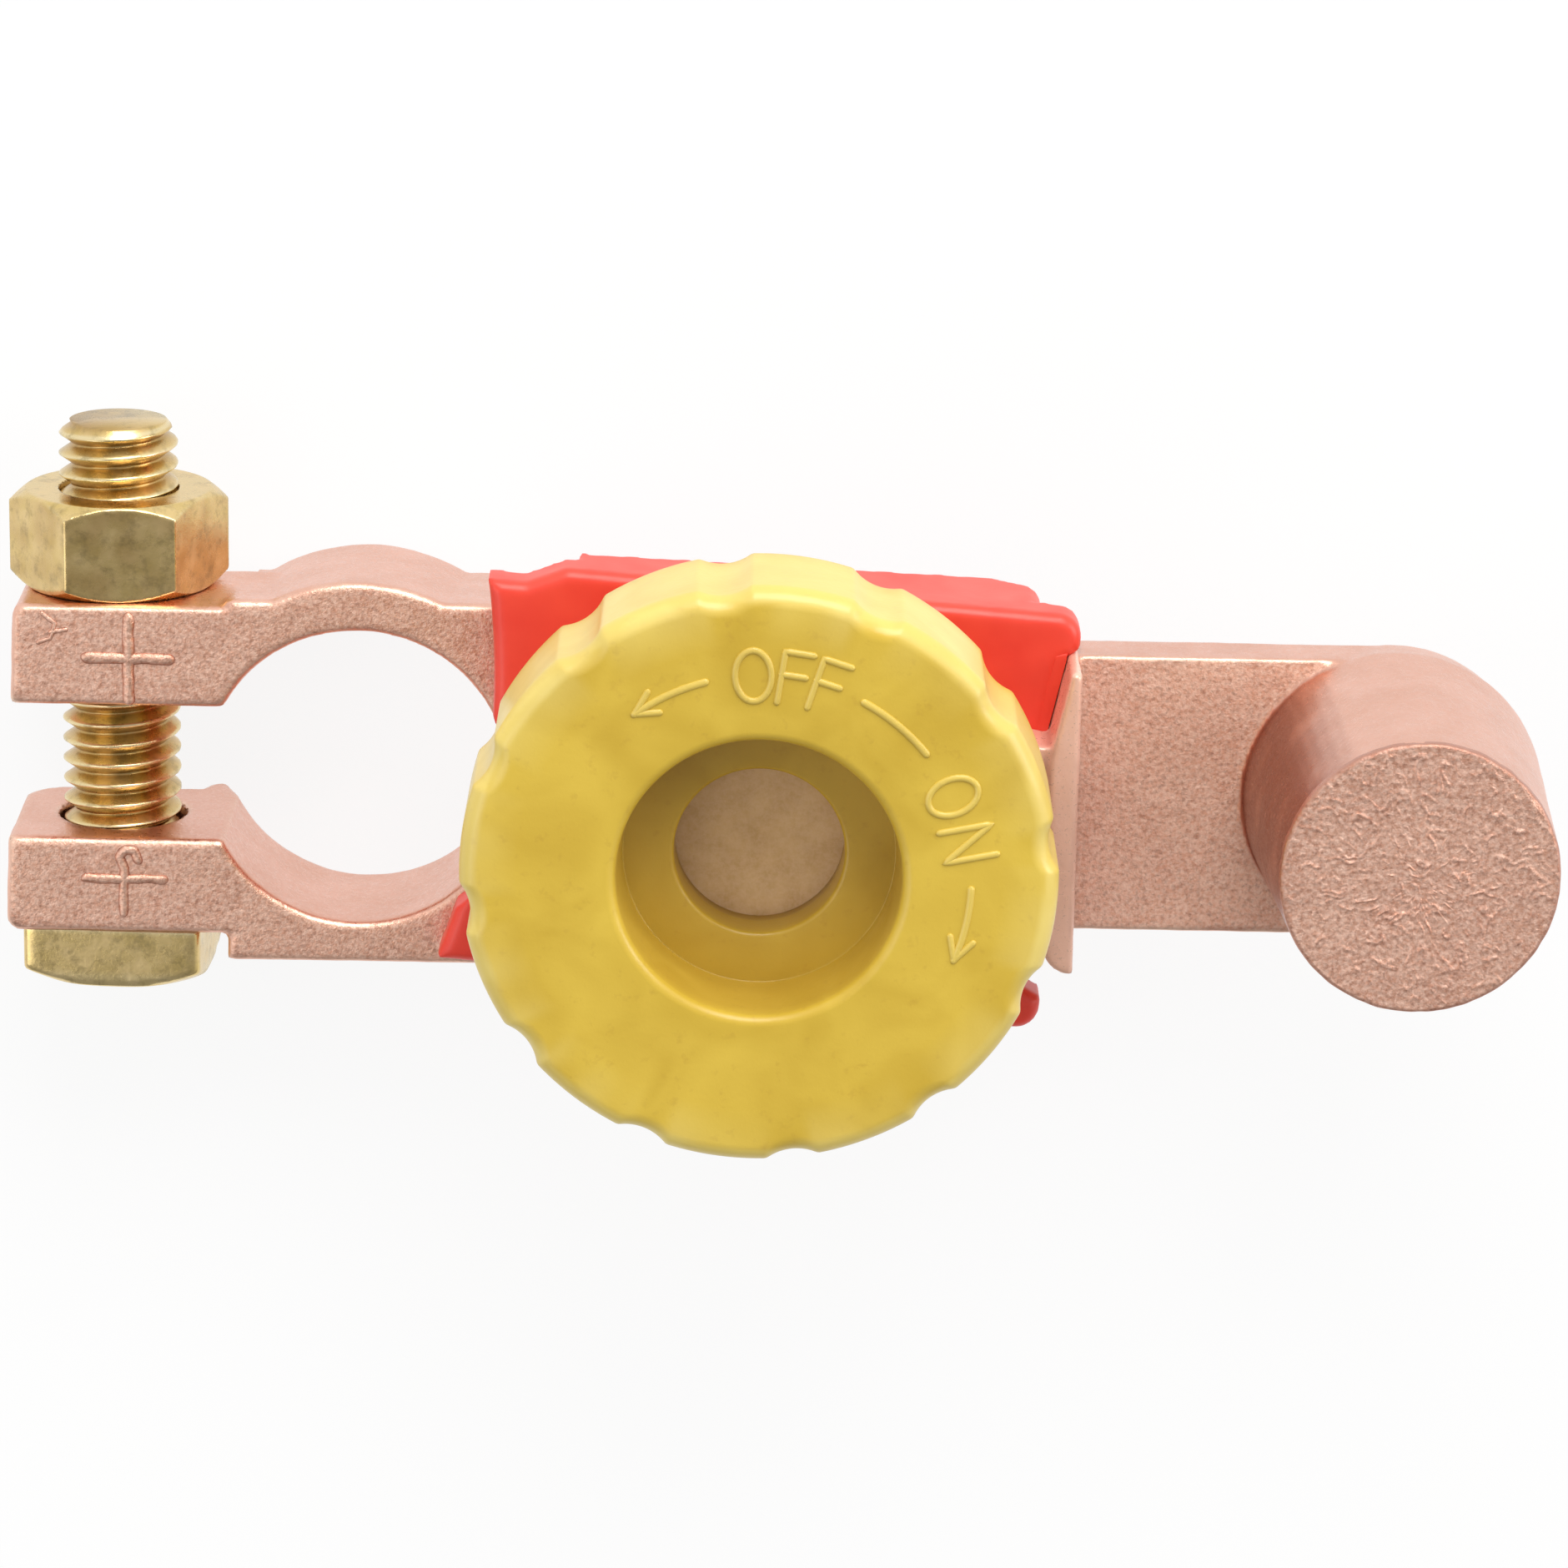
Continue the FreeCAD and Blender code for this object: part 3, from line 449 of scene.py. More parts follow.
def casting(node, voxel, name):
    """A casting with softened edges, uneven flats and rubbed corners, and painted shade in its
    inner corners.
    """
    points, faces, pairs = remeshed(node, voxel)
    normals = vertex_normals(points, faces)
    bend = bend_at(points, pairs, normals)
    lumps = noise_at(points, 3.2 * MM, 1) * 0.035 * MM + noise_at(points, 1.1 * MM, 2) * 0.022 * MM
    points = points + normals * lumps[:, None]
    points[:, 2] = np.maximum(points[:, 2], FLOOR)
    points[:, 2] = np.minimum(points[:, 2], FRONT + POST_UNDER_SKIN * MM)
    mesh = mesh_from(name, points, faces)
    edge = rubbed(bend, pairs)
    # Inner corners, where the surface bends in, are darkened as painted shade
    corner = held((-blur(bend, pairs, 3) - 0.03) / 0.15)
    flat = held((np.abs(normals[:, 2]) - 0.70) / 0.22)
    patchy = held(0.65 + noise_at(points, 2.5 * MM, 3) * 1.3)
    # A thin dark line runs here and there just inside the rubbed edges
    beside = held((blur(edge, pairs, 4) - 0.10) / 0.15) * (1 - edge) * flat
    broken = held(0.45 + noise_at(points, 3.0 * MM, 9) * 1.8)
    wear_and_painted_highlight = edge * patchy
    matt = flat * 0.25
    painted_shade = np.maximum(corner, beside * broken * 0.9)
    if node == "post_arm":
        # The riser's front is smooth, and is painted pale with the walls' colour and a light
        # highlight; the post's side that faces the knob is darkened with painted shade
        riser = (points[:, 0] < KNOB_X + RISER_OUT * MM) & (points[:, 2] > FRONT + 0.4 * MM)
        flat = np.where(riser, 0.0, flat)
        wear_and_painted_highlight = np.where(riser, 0.15, wear_and_painted_highlight)
        matt = np.where(riser, 1.0, flat * 0.85)
        on_post = (points[:, 0] > POST_X - 11 * MM) & (points[:, 2] > FRONT + 0.1 * MM)
        # Painted shade on the post's side that faces the knob, in patches, with no rubbed edges
        # there
        knob_side_shade = held((-normals[:, 0] - 0.45) / 0.35)
        knob_side_shade = knob_side_shade * held(1 + noise_at(points, 3 * MM, 17) * 0.5)
        painted_shade = np.where(on_post, np.maximum(painted_shade, knob_side_shade * 0.95), painted_shade)
        wear_and_painted_highlight = np.where(on_post, wear_and_painted_highlight * (1 - knob_side_shade), wear_and_painted_highlight)
    store(mesh, "wear_and_painted_highlight", wear_and_painted_highlight)
    store(mesh, "painted_shade", painted_shade)
    store(mesh, "blasted", flat)
    store(mesh, "matt", matt)
    finish_piece(name, mesh, copper, "base", True, [node])


casting("clamp_body", 0.29 * MM, "clamp_casting")
casting("post_arm", 0.23 * MM, "arm_casting")


# ------- the post's end, left as cast -------
def wrinkles(points, size, seed):
    """Short wandering ridges, 1 along their tops; size is their spacing in metres."""
    warp = noise_at(points, size * 1.6, seed) * size * 0.9
    bent = points + np.stack([warp, -warp, warp * 0], axis=1)
    top = 1 - held(np.abs(noise_at(bent, size, seed + 1)) / 0.11)
    broken = held(0.50 + noise_at(points, size * 0.9, seed + 2) * 2.0)
    return top * broken


def post_end():
    """A finely wrinkled skin over the post's end, turned down over its edge."""
    rim, high = POST_END_RADIUS, POST_END_HIGH
    step, edge, columns = 0.11, 0.28, 480
    coarse_size, fine_size = 1.05 * MM, 0.65 * MM
    coarse_high, fine_high, swell_high = 0.11 * MM, 0.06 * MM, 0.05 * MM
    section = [(step * i, high) for i in range(1, int((rim - edge) / step) + 1)]
    section += [(r, z) for r, z in arc(rim - edge, high - edge, edge, 90, 0, 5)]
    section += [(rim + 0.02 + 0.055 * d, high - edge - d) for d in (0.15, 0.3)]
    verts = [(POST_X, 0.0, FRONT + high * MM)]
    for r, z in section:
        for j in range(columns):
            t = math.tau * j / columns
            verts.append((POST_X + r * MM * math.cos(t), r * MM * math.sin(t), FRONT + z * MM))
    faces = [(0, 1 + j, 1 + (j + 1) % columns) for j in range(columns)]
    faces += [tuple(i + 1 for i in face) for face in grid_faces(len(section), columns)]
    points = np.array(verts)
    radial = np.hypot(points[:, 0] - POST_X, points[:, 1])
    inside = held((rim * MM - radial) / (0.5 * MM))
    coarse = wrinkles(points, coarse_size, 20)
    fine = wrinkles(points, fine_size, 30)
    swell = noise_at(points, 2.6 * MM, 40)
    rise = coarse * coarse_high + fine * fine_high + (swell - 0.3) * swell_high
    points[:, 2] += rise * inside
    out = (noise_at(points, 0.9 * MM, 41) * 0.05 * MM) * (1 - inside)
    points[:, 0] += out * (points[:, 0] - POST_X) / (rim * MM)
    points[:, 1] += out * points[:, 1] / (rim * MM)
    piece = make_object("post_end_skin", points, faces, copper, "base")
    co = places_of(piece)
    radial = np.hypot(co[:, 0] - POST_X, co[:, 1]) / MM
    level = co * np.array([1, 1, 0]) + np.array([0, 0, FRONT + high * MM])
    coarse = wrinkles(level, coarse_size, 20)
    # Painted light on the wrinkles: paler tops as highlight, darker flanks and a dark line round
    # the rim's edge as shade
    rim_line = held((radial - (rim - 0.30)) / 0.15)
    foot = held(coarse * 2.0) - coarse
    store(piece.data, "wear_and_painted_highlight", held(coarse - 0.5) * 0.15)
    store(piece.data, "painted_shade", held(np.maximum(rim_line * 0.6, foot * 0.7)))
    store(piece.data, "blasted", np.where(radial < rim - 0.05, 1.0, 0.0))
    store(piece.data, "matt", np.full(len(co), 0.25))


post_end()


# ------- raised marks on the jaws -------
# A ridge's section is half an oval of this many sides, and this share of its height is sunk
RIDGE_SIDES, RIDGE_SUNK = 10, 0.35
# A ridge's rounded ends: (how far in, how wide), as shares
RIDGE_ENDS = ((0.05, 0.35), (0.35, 0.75), (0.7, 0.95))


def ridge(path, width, height, top):
    """A rounded ridge along a path of (x, y) points, standing on a flat at height top."""
    path = [Vector((x, y)) for x, y in path]
    count = len(path)
    directions = []
    for i in range(count):
        before = path[max(i - 1, 0)]
        after = path[min(i + 1, count - 1)]
        directions.append((after - before).normalized())
    rows = []
    first, last = path[0], path[-1]
    for inset, scale in RIDGE_ENDS:
        place = first - directions[0] * width / 2 * (1 - inset)
        rows.append((place, directions[0], scale))
    for place, direction in zip(path, directions):
        rows.append((place, direction, 1.0))
    for inset, scale in reversed(RIDGE_ENDS):
        place = last + directions[-1] * width / 2 * (1 - inset)
        rows.append((place, directions[-1], scale))
    verts = []
    for place, direction, scale in rows:
        side = Vector((-direction.y, direction.x))
        for k in range(RIDGE_SIDES + 1):
            angle = math.pi * k / RIDGE_SIDES
            across = math.cos(angle) * width / 2 * scale
            up = math.sin(angle) * height * (0.4 + 0.6 * scale)
            spot = place + side * across
            verts.append((spot.x, spot.y, top + up - height * RIDGE_SUNK))
    columns = RIDGE_SIDES + 1
    faces = grid_faces(len(rows), columns, closed_columns=False)
    for row in (0, len(rows) - 1):
        faces.append(tuple(row * columns + k for k in range(columns)))
    bottom = []
    for i in range(len(rows) - 1):
        a, b = i * columns, i * columns + columns - 1
        bottom.append((a, b, b + columns, a + columns))
    return verts, faces + bottom


def join_parts(parts):
    """Several vertex and face lists as one."""
    verts, faces = [], []
    for part_verts, part_faces in parts:
        start = len(verts)
        verts += part_verts
        faces += [tuple(i + start for i in face) for face in part_faces]
    return verts, faces


# Strokes have a place at about every step of this length (mm)
STROKE_STEP = 0.25


def along(points, step):
    """A path through points with a place at every step."""
    out = []
    for (x1, y1), (x2, y2) in zip(points, points[1:]):
        length = math.hypot(x2 - x1, y2 - y1)
        count = max(1, round(length / step))
        for i in range(count):
            t = i / count
            out.append((x1 + (x2 - x1) * t, y1 + (y2 - y1) * t))
    out.append(points[-1])
    return out


def cast_mark(name, strokes, bar, height):
    """Raised strokes (mm) on the castings' front face, of the casting's own colour."""
    parts = []
    for points in strokes:
        path = [(a * MM, b * MM) for a, b in along(points, STROKE_STEP)]
        parts.append(ridge(path, bar * MM, height * MM, FRONT))
    verts, faces = join_parts(parts)
    wobble = noise_at(np.array(verts), 0.9 * MM, 8) * 0.08 * MM
    verts = [(vx + w, vy - w, vz + w * 0.6) for (vx, vy, vz), w in zip(verts, wobble)]
    piece = make_object(name, verts, faces, copper, "base")
    rise = (np.array([v.co.z for v in piece.data.vertices]) - FRONT) / (height * MM)
    # Painted light on the strokes: tops a little paler as highlight, feet darker as shade
    store(piece.data, "wear_and_painted_highlight", held((rise - 0.45) / 0.3) * 0.12)
    store(piece.data, "painted_shade", held(1 - rise / 0.45) * 0.9)
    store(piece.data, "blasted", np.ones(len(rise)))


cast_mark("plus_mark_nut_side", [
    [(-17.9, 8.05), (-12.5, 8.0)],
    [(-15.2, 5.3), (-15.15, 10.8)],
], 0.85, 0.34)
cast_mark("plus_mark_head_side", [
    [(-18.2, -7.25), (-13.0, -7.3)],
    [(-15.7, -9.6), (-15.65, -6.5), (-15.95, -5.7), (-15.55, -5.2), (-14.9, -5.3),
     (-14.72, -5.9)],
], 0.72, 0.30)
cast_mark("jaw_scar", [
    [(-20.8, 11.0), (-20.0, 10.35), (-20.3, 9.3), (-21.1, 9.05)],
    [(-20.3, 9.75), (-19.3, 9.95)],
], 0.34, 0.16)


# ------- insulator and nut -------
def plain_remesh(node, voxel, name, material, body, wear):
    """A node's shape as an even mesh with soft edges, rubbed by an amount of wear."""
    points, faces, pairs = remeshed(node, voxel)
    normals = vertex_normals(points, faces)
    bend = bend_at(points, pairs, normals)
    mesh = mesh_from(name, points, faces)
    patchy = held(0.7 + noise_at(points, 2.0 * MM, 4) * 1.3)
    store(mesh, "wear_and_painted_highlight", rubbed(bend, pairs) * patchy * wear)
    return finish_piece(name, mesh, material, body, True, [node])


plain_remesh("insulator", 0.26 * MM, "insulator_moulding", red, "base", 0.5)
nut = plain_remesh("clamp_nut", 0.13 * MM, "nut_forging", brassy, "nut", 0.8)
# The nut's sides, which face away from Y, are darkened in patches: a painted dark reflection, kept
# with the thread's painted shade
nut_normals = np.array([v.normal for v in nut.data.vertices])
painted_dark_reflection = held(0.75 - np.abs(nut_normals[:, 1]))
painted_dark_reflection = painted_dark_reflection * np.clip(0.6 + noise_at(places_of(nut), 1.6 * MM, 14), 0.2, 1)
store(nut.data, "root", painted_dark_reflection * 0.75)


def insulator_lip():
    """A strip that closes the slot beside the riser, level with the insulator's front."""
    tops = [v.co.z for v in nodes["insulator"].data.vertices
            if v.co.x > KNOB_X + 17.0 * MM and v.co.y > 4 * MM]
    high = max(tops) - 0.03 * MM
    corners = [(17.3, -3.0), (18.70, -3.0), (18.70, 4.25), (20.02, 10.1), (20.02, 10.42),
               (19.3, 10.3), (17.6, 4.0)]
    # Rows from the foot up: (inset in mm, height)
    rows = [(0.0, high - 2.2 * MM), (0.0, high - 0.12 * MM), (0.04, high - 0.04 * MM),
            (0.14, high)]
    cx = sum(x for x, _ in corners) / len(corners)
    cy = sum(y for _, y in corners) / len(corners)
    verts = []
    for inset, z in rows:
        for x, y in corners:
            away = math.hypot(x - cx, y - cy)
            keep = 1 - inset / away
            verts.append((KNOB_X + (cx + (x - cx) * keep) * MM, (cy + (y - cy) * keep) * MM, z))
    faces = grid_faces(len(rows), len(corners))
    faces.append(tuple(range(len(corners))))
    faces.append(tuple((len(rows) - 1) * len(corners) + k for k in range(len(corners))))
    make_object("insulator_lip", verts, faces, red, "base", False)


insulator_lip()


# ------- knob, sizes in mm and heights from the castings' front face -------
KNOB_RADIUS, KNOB_TOP, RIM_LOW, HUB_LOW = 19.05, 21.2, 11.2, 9.65
FRONT_ROUND, FOOT_ROUND = 1.3, 0.9
# The recess has a rounded lip and a floor, and the window over the stud is in that floor
LIP_RADIUS, LIP_ROUND, RECESS_RADIUS, RECESS_FLOOR, WINDOW_RADIUS = 9.8, 0.7, 8.8, 14.95, 5.5
# The cored underside: the pocket over the stud's head, and the ring-shaped core round the hub
POCKET_RADIUS, POCKET_TOP, CORE_IN, CORE_OUT, CORE_TOP = 7.75, 11.15, 12.6, 16.2, 17.6
# Twelve cylinders cut the dips into the rim: the first one's angle, their distance and radius
DIPS, DIP_ANGLE, DIP_FAR, DIP_CUTTER, DIP_BLEND = 12, 7.5, 21.7, 3.2, 0.12


def lobed(angle):
    """The rim's outer radius at an angle, with its twelve shallow dips."""
    pitch = math.tau / DIPS
    off = (angle - math.radians(DIP_ANGLE) + pitch / 2) % pitch - pitch / 2
    reach = DIP_CUTTER ** 2 - (DIP_FAR * math.sin(off)) ** 2
    if reach <= 0:
        return KNOB_RADIUS * MM
    dip = DIP_FAR * math.cos(off) - math.sqrt(reach)
    blend = DIP_BLEND
    gap = KNOB_RADIUS - dip
    if gap < -blend:
        return KNOB_RADIUS * MM
    soft = min(KNOB_RADIUS, dip)
    if abs(gap) < blend:
        soft -= (blend - abs(gap)) ** 2 / (4 * blend)
    return soft * MM


def knob_mesh():
    """The knob's surface: a lobed rim outside, round inside, closed underneath."""
    top, floor, lip = KNOB_TOP, RECESS_FLOOR, KNOB_TOP - LIP_ROUND
    wall_top, wall_narrows, wall_foot = LIP_RADIUS - LIP_ROUND, 0.28, floor + 0.1
    window_edge, bevel, core_foot = 0.3, 0.3, CORE_OUT + 0.2
    # On the lobed side a place is (inset from the rim's outline, height)
    section = []
    for a in range(0, 91, 15):
        t = math.radians(a)
        section.append(("rim", FOOT_ROUND - FOOT_ROUND * math.sin(t),
                        RIM_LOW + FOOT_ROUND - FOOT_ROUND * math.cos(t)))
    section += [("rim", 0.0, RIM_LOW + FOOT_ROUND + 7.8 * i / 8) for i in range(1, 9)]
    for a in range(6, 91, 6):
        t = math.radians(a)
        section.append(("rim", FRONT_ROUND - FRONT_ROUND * math.cos(t),
                        top - FRONT_ROUND + FRONT_ROUND * math.sin(t)))
    # On the front and under the rim it is (share of the way from one edge to the other, height)
    section += [("front", 0.3, top), ("front", 0.65, top)]
    # Inside it is (radius, height)
    inner = arc(LIP_RADIUS, lip, LIP_ROUND, 90, 180, 8)
    inner += [(wall_top - wall_narrows * i / 6, lip + (wall_foot - lip) * i / 6)
              for i in range(1, 7)]
    inner += [(RECESS_RADIUS, floor + 0.03), (RECESS_RADIUS, floor)]
    inner += [(r, floor) for r in (8.73, 7.5, 6.4, WINDOW_RADIUS + window_edge)]
    inner += arc(WINDOW_RADIUS + window_edge, floor - window_edge, window_edge, 90, 180, 4)[1:]
    inner += [(WINDOW_RADIUS, z) for z in (13.6, 12.4, POCKET_TOP)]
    inner += [(POCKET_RADIUS, POCKET_TOP), (POCKET_RADIUS, HUB_LOW)]
    inner += [(CORE_IN - bevel, HUB_LOW), (CORE_IN, HUB_LOW + bevel), (CORE_IN, RIM_LOW + 3)]
    inner += [(CORE_IN, CORE_TOP - bevel), (CORE_IN + bevel, CORE_TOP)]
    inner += [(CORE_OUT - bevel, CORE_TOP), (CORE_OUT, CORE_TOP - bevel)]
    inner += [(CORE_OUT, 14), (CORE_OUT, RIM_LOW + 0.2), (core_foot, RIM_LOW)]
    section += [("round", r, z) for r, z in inner]
    section += [("foot", 0.5, RIM_LOW)]
    columns = 720
    verts = []
    for kind, r, z in section:
        for j in range(columns):
            angle = math.tau * j / columns
            edge = lobed(angle)
            if kind == "rim":
                radius = edge - r * MM
            elif kind == "front":
                radius = (edge - FRONT_ROUND * MM) * (1 - r) + LIP_RADIUS * MM * r
            elif kind == "foot":
                radius = core_foot * MM * r + (edge - FOOT_ROUND * MM) * (1 - r)
            else:
                radius = r * MM
            verts.append((
                KNOB_X + radius * math.cos(angle), radius * math.sin(angle), FRONT + z * MM,
            ))
    faces = grid_faces(len(section), columns, closed_rows=True)
    piece = make_object("knob_moulding", verts, faces, yellow, "knob",
                        True, ["knob"])
    co = places_of(piece)
    radial = np.hypot(co[:, 0] - KNOB_X, co[:, 1])
    height = co[:, 2] - FRONT
    # The rim's front edge is paled partly as wear and partly as painted highlight; its side wall is
    # paled as painted highlight
    near_top = held((height - 19.4 * MM) / (1.4 * MM))
    edge = held((radial - 17.3 * MM) / (0.9 * MM)) * near_top
    patchy = held(0.6 + noise_at(co, 3 * MM, 12) * 1.2)
    wall = held((radial - 17.9 * MM) / (0.4 * MM)) * held((height - 11.5 * MM) / (2 * MM))
    store(piece.data, "wear_and_painted_highlight", np.maximum(edge * patchy * 0.8, wall * 0.6))
    # The recess below the lip is marked for painted shade
    deep = held((20.9 * MM - height) / (1.0 * MM))
    store(piece.data, "sunk", deep * (radial < 9.3 * MM))


knob_mesh()


def knob_ribs():
    """The six ribs in the knob's cored underside."""
    count, low, into = 6, 12.2, 0.05
    near, far = CORE_IN - into, CORE_OUT + into
    box_faces = ((0, 1, 2, 3), (4, 5, 6, 7), (0, 1, 5, 4), (1, 2, 6, 5), (2, 3, 7, 6), (3, 0, 4, 7))
    verts, faces = [], []
    for k in range(count):
        turn = Matrix.Rotation(math.tau * k / count, 3, "Z")
        start = len(verts)
        for z in (low, CORE_TOP - into):
            for r, w in ((near, -0.7), (far, -0.55), (far, 0.55), (near, 0.7)):
                spot = turn @ Vector((r * MM, w * MM, 0))
                verts.append((KNOB_X + spot.x, spot.y, FRONT + z * MM))
        faces += [tuple(start + corner for corner in face) for face in box_faces]
    make_object("knob_core_ribs", verts, faces, yellow, "knob", False)


knob_ribs()


# ------- raised lettering and arrows on the knob -------
FACE = FRONT + KNOB_TOP * MM
# The letters' middles lie on a ring of this radius (mm)
TRACK = 13.45
LETTER_HIGH, HEAD_HIGH = 0.24 * MM, 0.22 * MM
THIN_STROKE, BROAD_STROKE = 0.50 * MM, 0.55 * MM
# Half a letter's height and width (mm)
HALF_TALL, HALF_WIDE = 1.65, 1.15


def on_ring(across, up, angle):
    """A letter's local place, across and up in mm, laid on the ring at an angle in degrees."""
    t = math.radians(angle)
    r = TRACK + up
    x = r * math.cos(t) + across * math.sin(t)
    y = r * math.sin(t) - across * math.cos(t)
    return (KNOB_X + x * MM, y * MM)


def letter(strokes, angle):
    """A letter's ridges, its middle at an angle in degrees."""
    parts = []
    for stroke in strokes:
        path = [on_ring(a, b, angle) for a, b in along(stroke, STROKE_STEP)]
        parts.append(ridge(path, THIN_STROKE, LETTER_HIGH, FACE))
    return parts


def ring_line(start, end):
    """A ridge along the ring between two angles in degrees."""
    count = max(2, round(abs(end - start) / 1.5))
    path = [on_ring(0, 0.0, start + (end - start) * i / count) for i in range(count + 1)]
    return ridge(path, BROAD_STROKE, LETTER_HIGH, FACE)


def arrow(start, end):
    """A curved arrow along the ring from one angle to another, its head at the second."""
    parts = [ring_line(start, end)]
    way = 1 if end > start else -1
    for up in (0.75, -0.75):
        tail, tip = on_ring(0, up, end - way * 6.0), on_ring(0, 0, end)
        middle = ((tail[0] + tip[0]) / 2, (tail[1] + tip[1]) / 2)
        parts.append(ridge([tail, middle, tip], THIN_STROKE, HEAD_HIGH, FACE))
    return parts


ring_o = [(HALF_WIDE * math.sin(math.tau * k / 28), HALF_TALL * math.cos(math.tau * k / 28))
          for k in range(29)]
letter_f = [
    [(-0.8, -HALF_TALL), (-0.8, HALF_TALL), (1.0, HALF_TALL)],
    [(-0.8, 0.15), (0.7, 0.15)],
]
letter_n = [
    [(-1.0, -HALF_TALL), (-1.0, HALF_TALL), (1.0, -HALF_TALL), (1.0, HALF_TALL)],
]
marks = []
marks += letter([ring_o], 92.5)
marks += letter(letter_f, 81.6)
marks += letter(letter_f, 72.2)
marks += [ring_line(61.5, 39.5)]
marks += letter([ring_o], 25.4)
marks += letter(letter_n, 11.6)
marks += arrow(105.5, 126.5)
marks += arrow(-1.5, -22.0)
verts, faces = join_parts(marks)
lettering = make_object("knob_on_off_marks", verts, faces, yellow, "knob")
rise = places_of(lettering)[:, 2] - FACE
# The letters' tops are painted paler: a painted highlight
store(lettering.data, "wear_and_painted_highlight", held(rise / (0.12 * MM)) * 0.35)


# ------- clamp bolt, sizes in mm -------
def bolt_shank():
    """The threaded shank, a right-handed helix, along Y."""
    low, high, radius_out, deep, pitch = -11.0, 22.7, 3.97, 0.80, 1.411
    # The thread runs out between these two places, and the tip is bevelled over this length
    plain_to, thread_from, tip = -10, -9.5, 0.9
    columns = 96
    rows = int((high - low) / 0.09)
    verts, root = [], []
    for i in range(rows + 1):
        y = low + (high - low) * i / rows
        for j in range(columns):
            angle = math.tau * j / columns
            phase = ((y / pitch) - angle / math.tau) % 1.0
            slope = abs(phase - 0.5) * 2
            depth = min(max((slope - 0.10) / 0.80, 0), 1)
            full = radius_out - deep * (1 - depth)
            if y < plain_to:
                full = radius_out
            elif y < thread_from:
                full = radius_out - (radius_out - full) * (y - plain_to) / (thread_from - plain_to)
            bevel = radius_out - max(0.0, y - (high - tip)) * 0.8
            radius = min(full, bevel) * MM
            verts.append((
                BOLT_X + radius * math.cos(angle), y * MM, BOLT_Z - radius * math.sin(angle),
            ))
            # How deep each point lies in the thread, kept for painted shade
            root.append(held((radius_out - full) / deep))
    faces = grid_faces(rows + 1, columns)
    faces.append(tuple(range(columns)))
    faces.append(tuple(rows * columns + j for j in range(columns)))
    piece = make_object("bolt_thread", verts, faces, brassy, "bolt", True,
                        ["clamp_bolt"])
    store(piece.data, "root", root)
    # The crests are paler: wear, and a painted highlight
    crest = 1 - np.array(root)
    store(piece.data, "wear_and_painted_highlight", held((crest - 0.8) / 0.2) * 0.5)


bolt_shank()


def bolt_head():
    """The square head, its corners soft, its far end turned off to a cone."""
    half, near, far, crown, soft = 6.0, -11.1, -15.3, 1.3, 0.3
    turn = math.radians(-3.0)
    # Levels from the jaw outwards: (place along Y, inset)
    levels = []
    for a in range(0, 91, 18):
        t = math.radians(a)
        levels.append((near - soft * (1 - math.cos(t)), soft * (1 - math.sin(t))))
    levels += [(near - soft - 0.22 * k, 0.0) for k in range(1, 16)]
    for a in range(18, 91, 18):
        t = math.radians(a)
        levels.append((far + soft * (1 - math.sin(t)), soft * (1 - math.cos(t))))
    columns = 256
    # How square the head is, and how sharply its sides meet the cone
    square, sharp = 26, 6
    verts = []

    def outline(angle, y):
        c, s = abs(math.cos(angle)), abs(math.sin(angle))
        side = half * (c ** square + s ** square) ** (-1 / square)
        cone = half + 0.15 + (y - far) * 2.5 / crown
        return -math.log(math.exp(-sharp * side) + math.exp(-sharp * cone)) / sharp

    sections = [(near, 0.0, 0.5)] + [(y, inset, 1.0) for y, inset in levels]
    sections += [(far, soft, 0.75), (far, soft, 0.5), (far, soft, 0.25)]
    for y, inset, scale in sections:
        for j in range(columns):
            angle = math.tau * j / columns
            r = (outline(angle, y) - inset) * scale * MM
            turned = angle + turn
            verts.append((BOLT_X + r * math.sin(turned), y * MM, BOLT_Z + r * math.cos(turned)))
    faces = grid_faces(len(sections), columns)
    faces.append(tuple(range(columns)))
    faces.append(tuple((len(sections) - 1) * columns + j for j in range(columns)))
    piece = make_object("bolt_head", verts, faces, brassy, "bolt")
    place = places_of(piece)[:, 1] / MM
    near_edge = held((place - (near - 0.35)) / 0.2)
    far_edge = held(((far + 1.2) - place) / 0.4)
    store(piece.data, "wear_and_painted_highlight", np.maximum(near_edge, far_edge * 0.3) * 0.7)


bolt_head()


# ------- pieces that stay as the solids are -------
def give(node, material):
    """Gives a CAD node its material."""
    mesh = nodes[node].data
    mesh.materials.clear()
    mesh.materials.append(material)
    for polygon in mesh.polygons:
        polygon.material_index = 0


give("contact_stud", contact)
give("contact_disc", contact)
give("thread_insert", brassy)
give("stud_clip", steel)


# ------- floor, light and camera -------
WHITE = (1, 1, 1, 1)
# How much of the floor glows by itself, for the camera and in reflections
FLOOR_GLOW = 0.88
# Brightness of the room all round, and overhead, behind the camera
ROOM, OVERHEAD = 0.95, 0.48


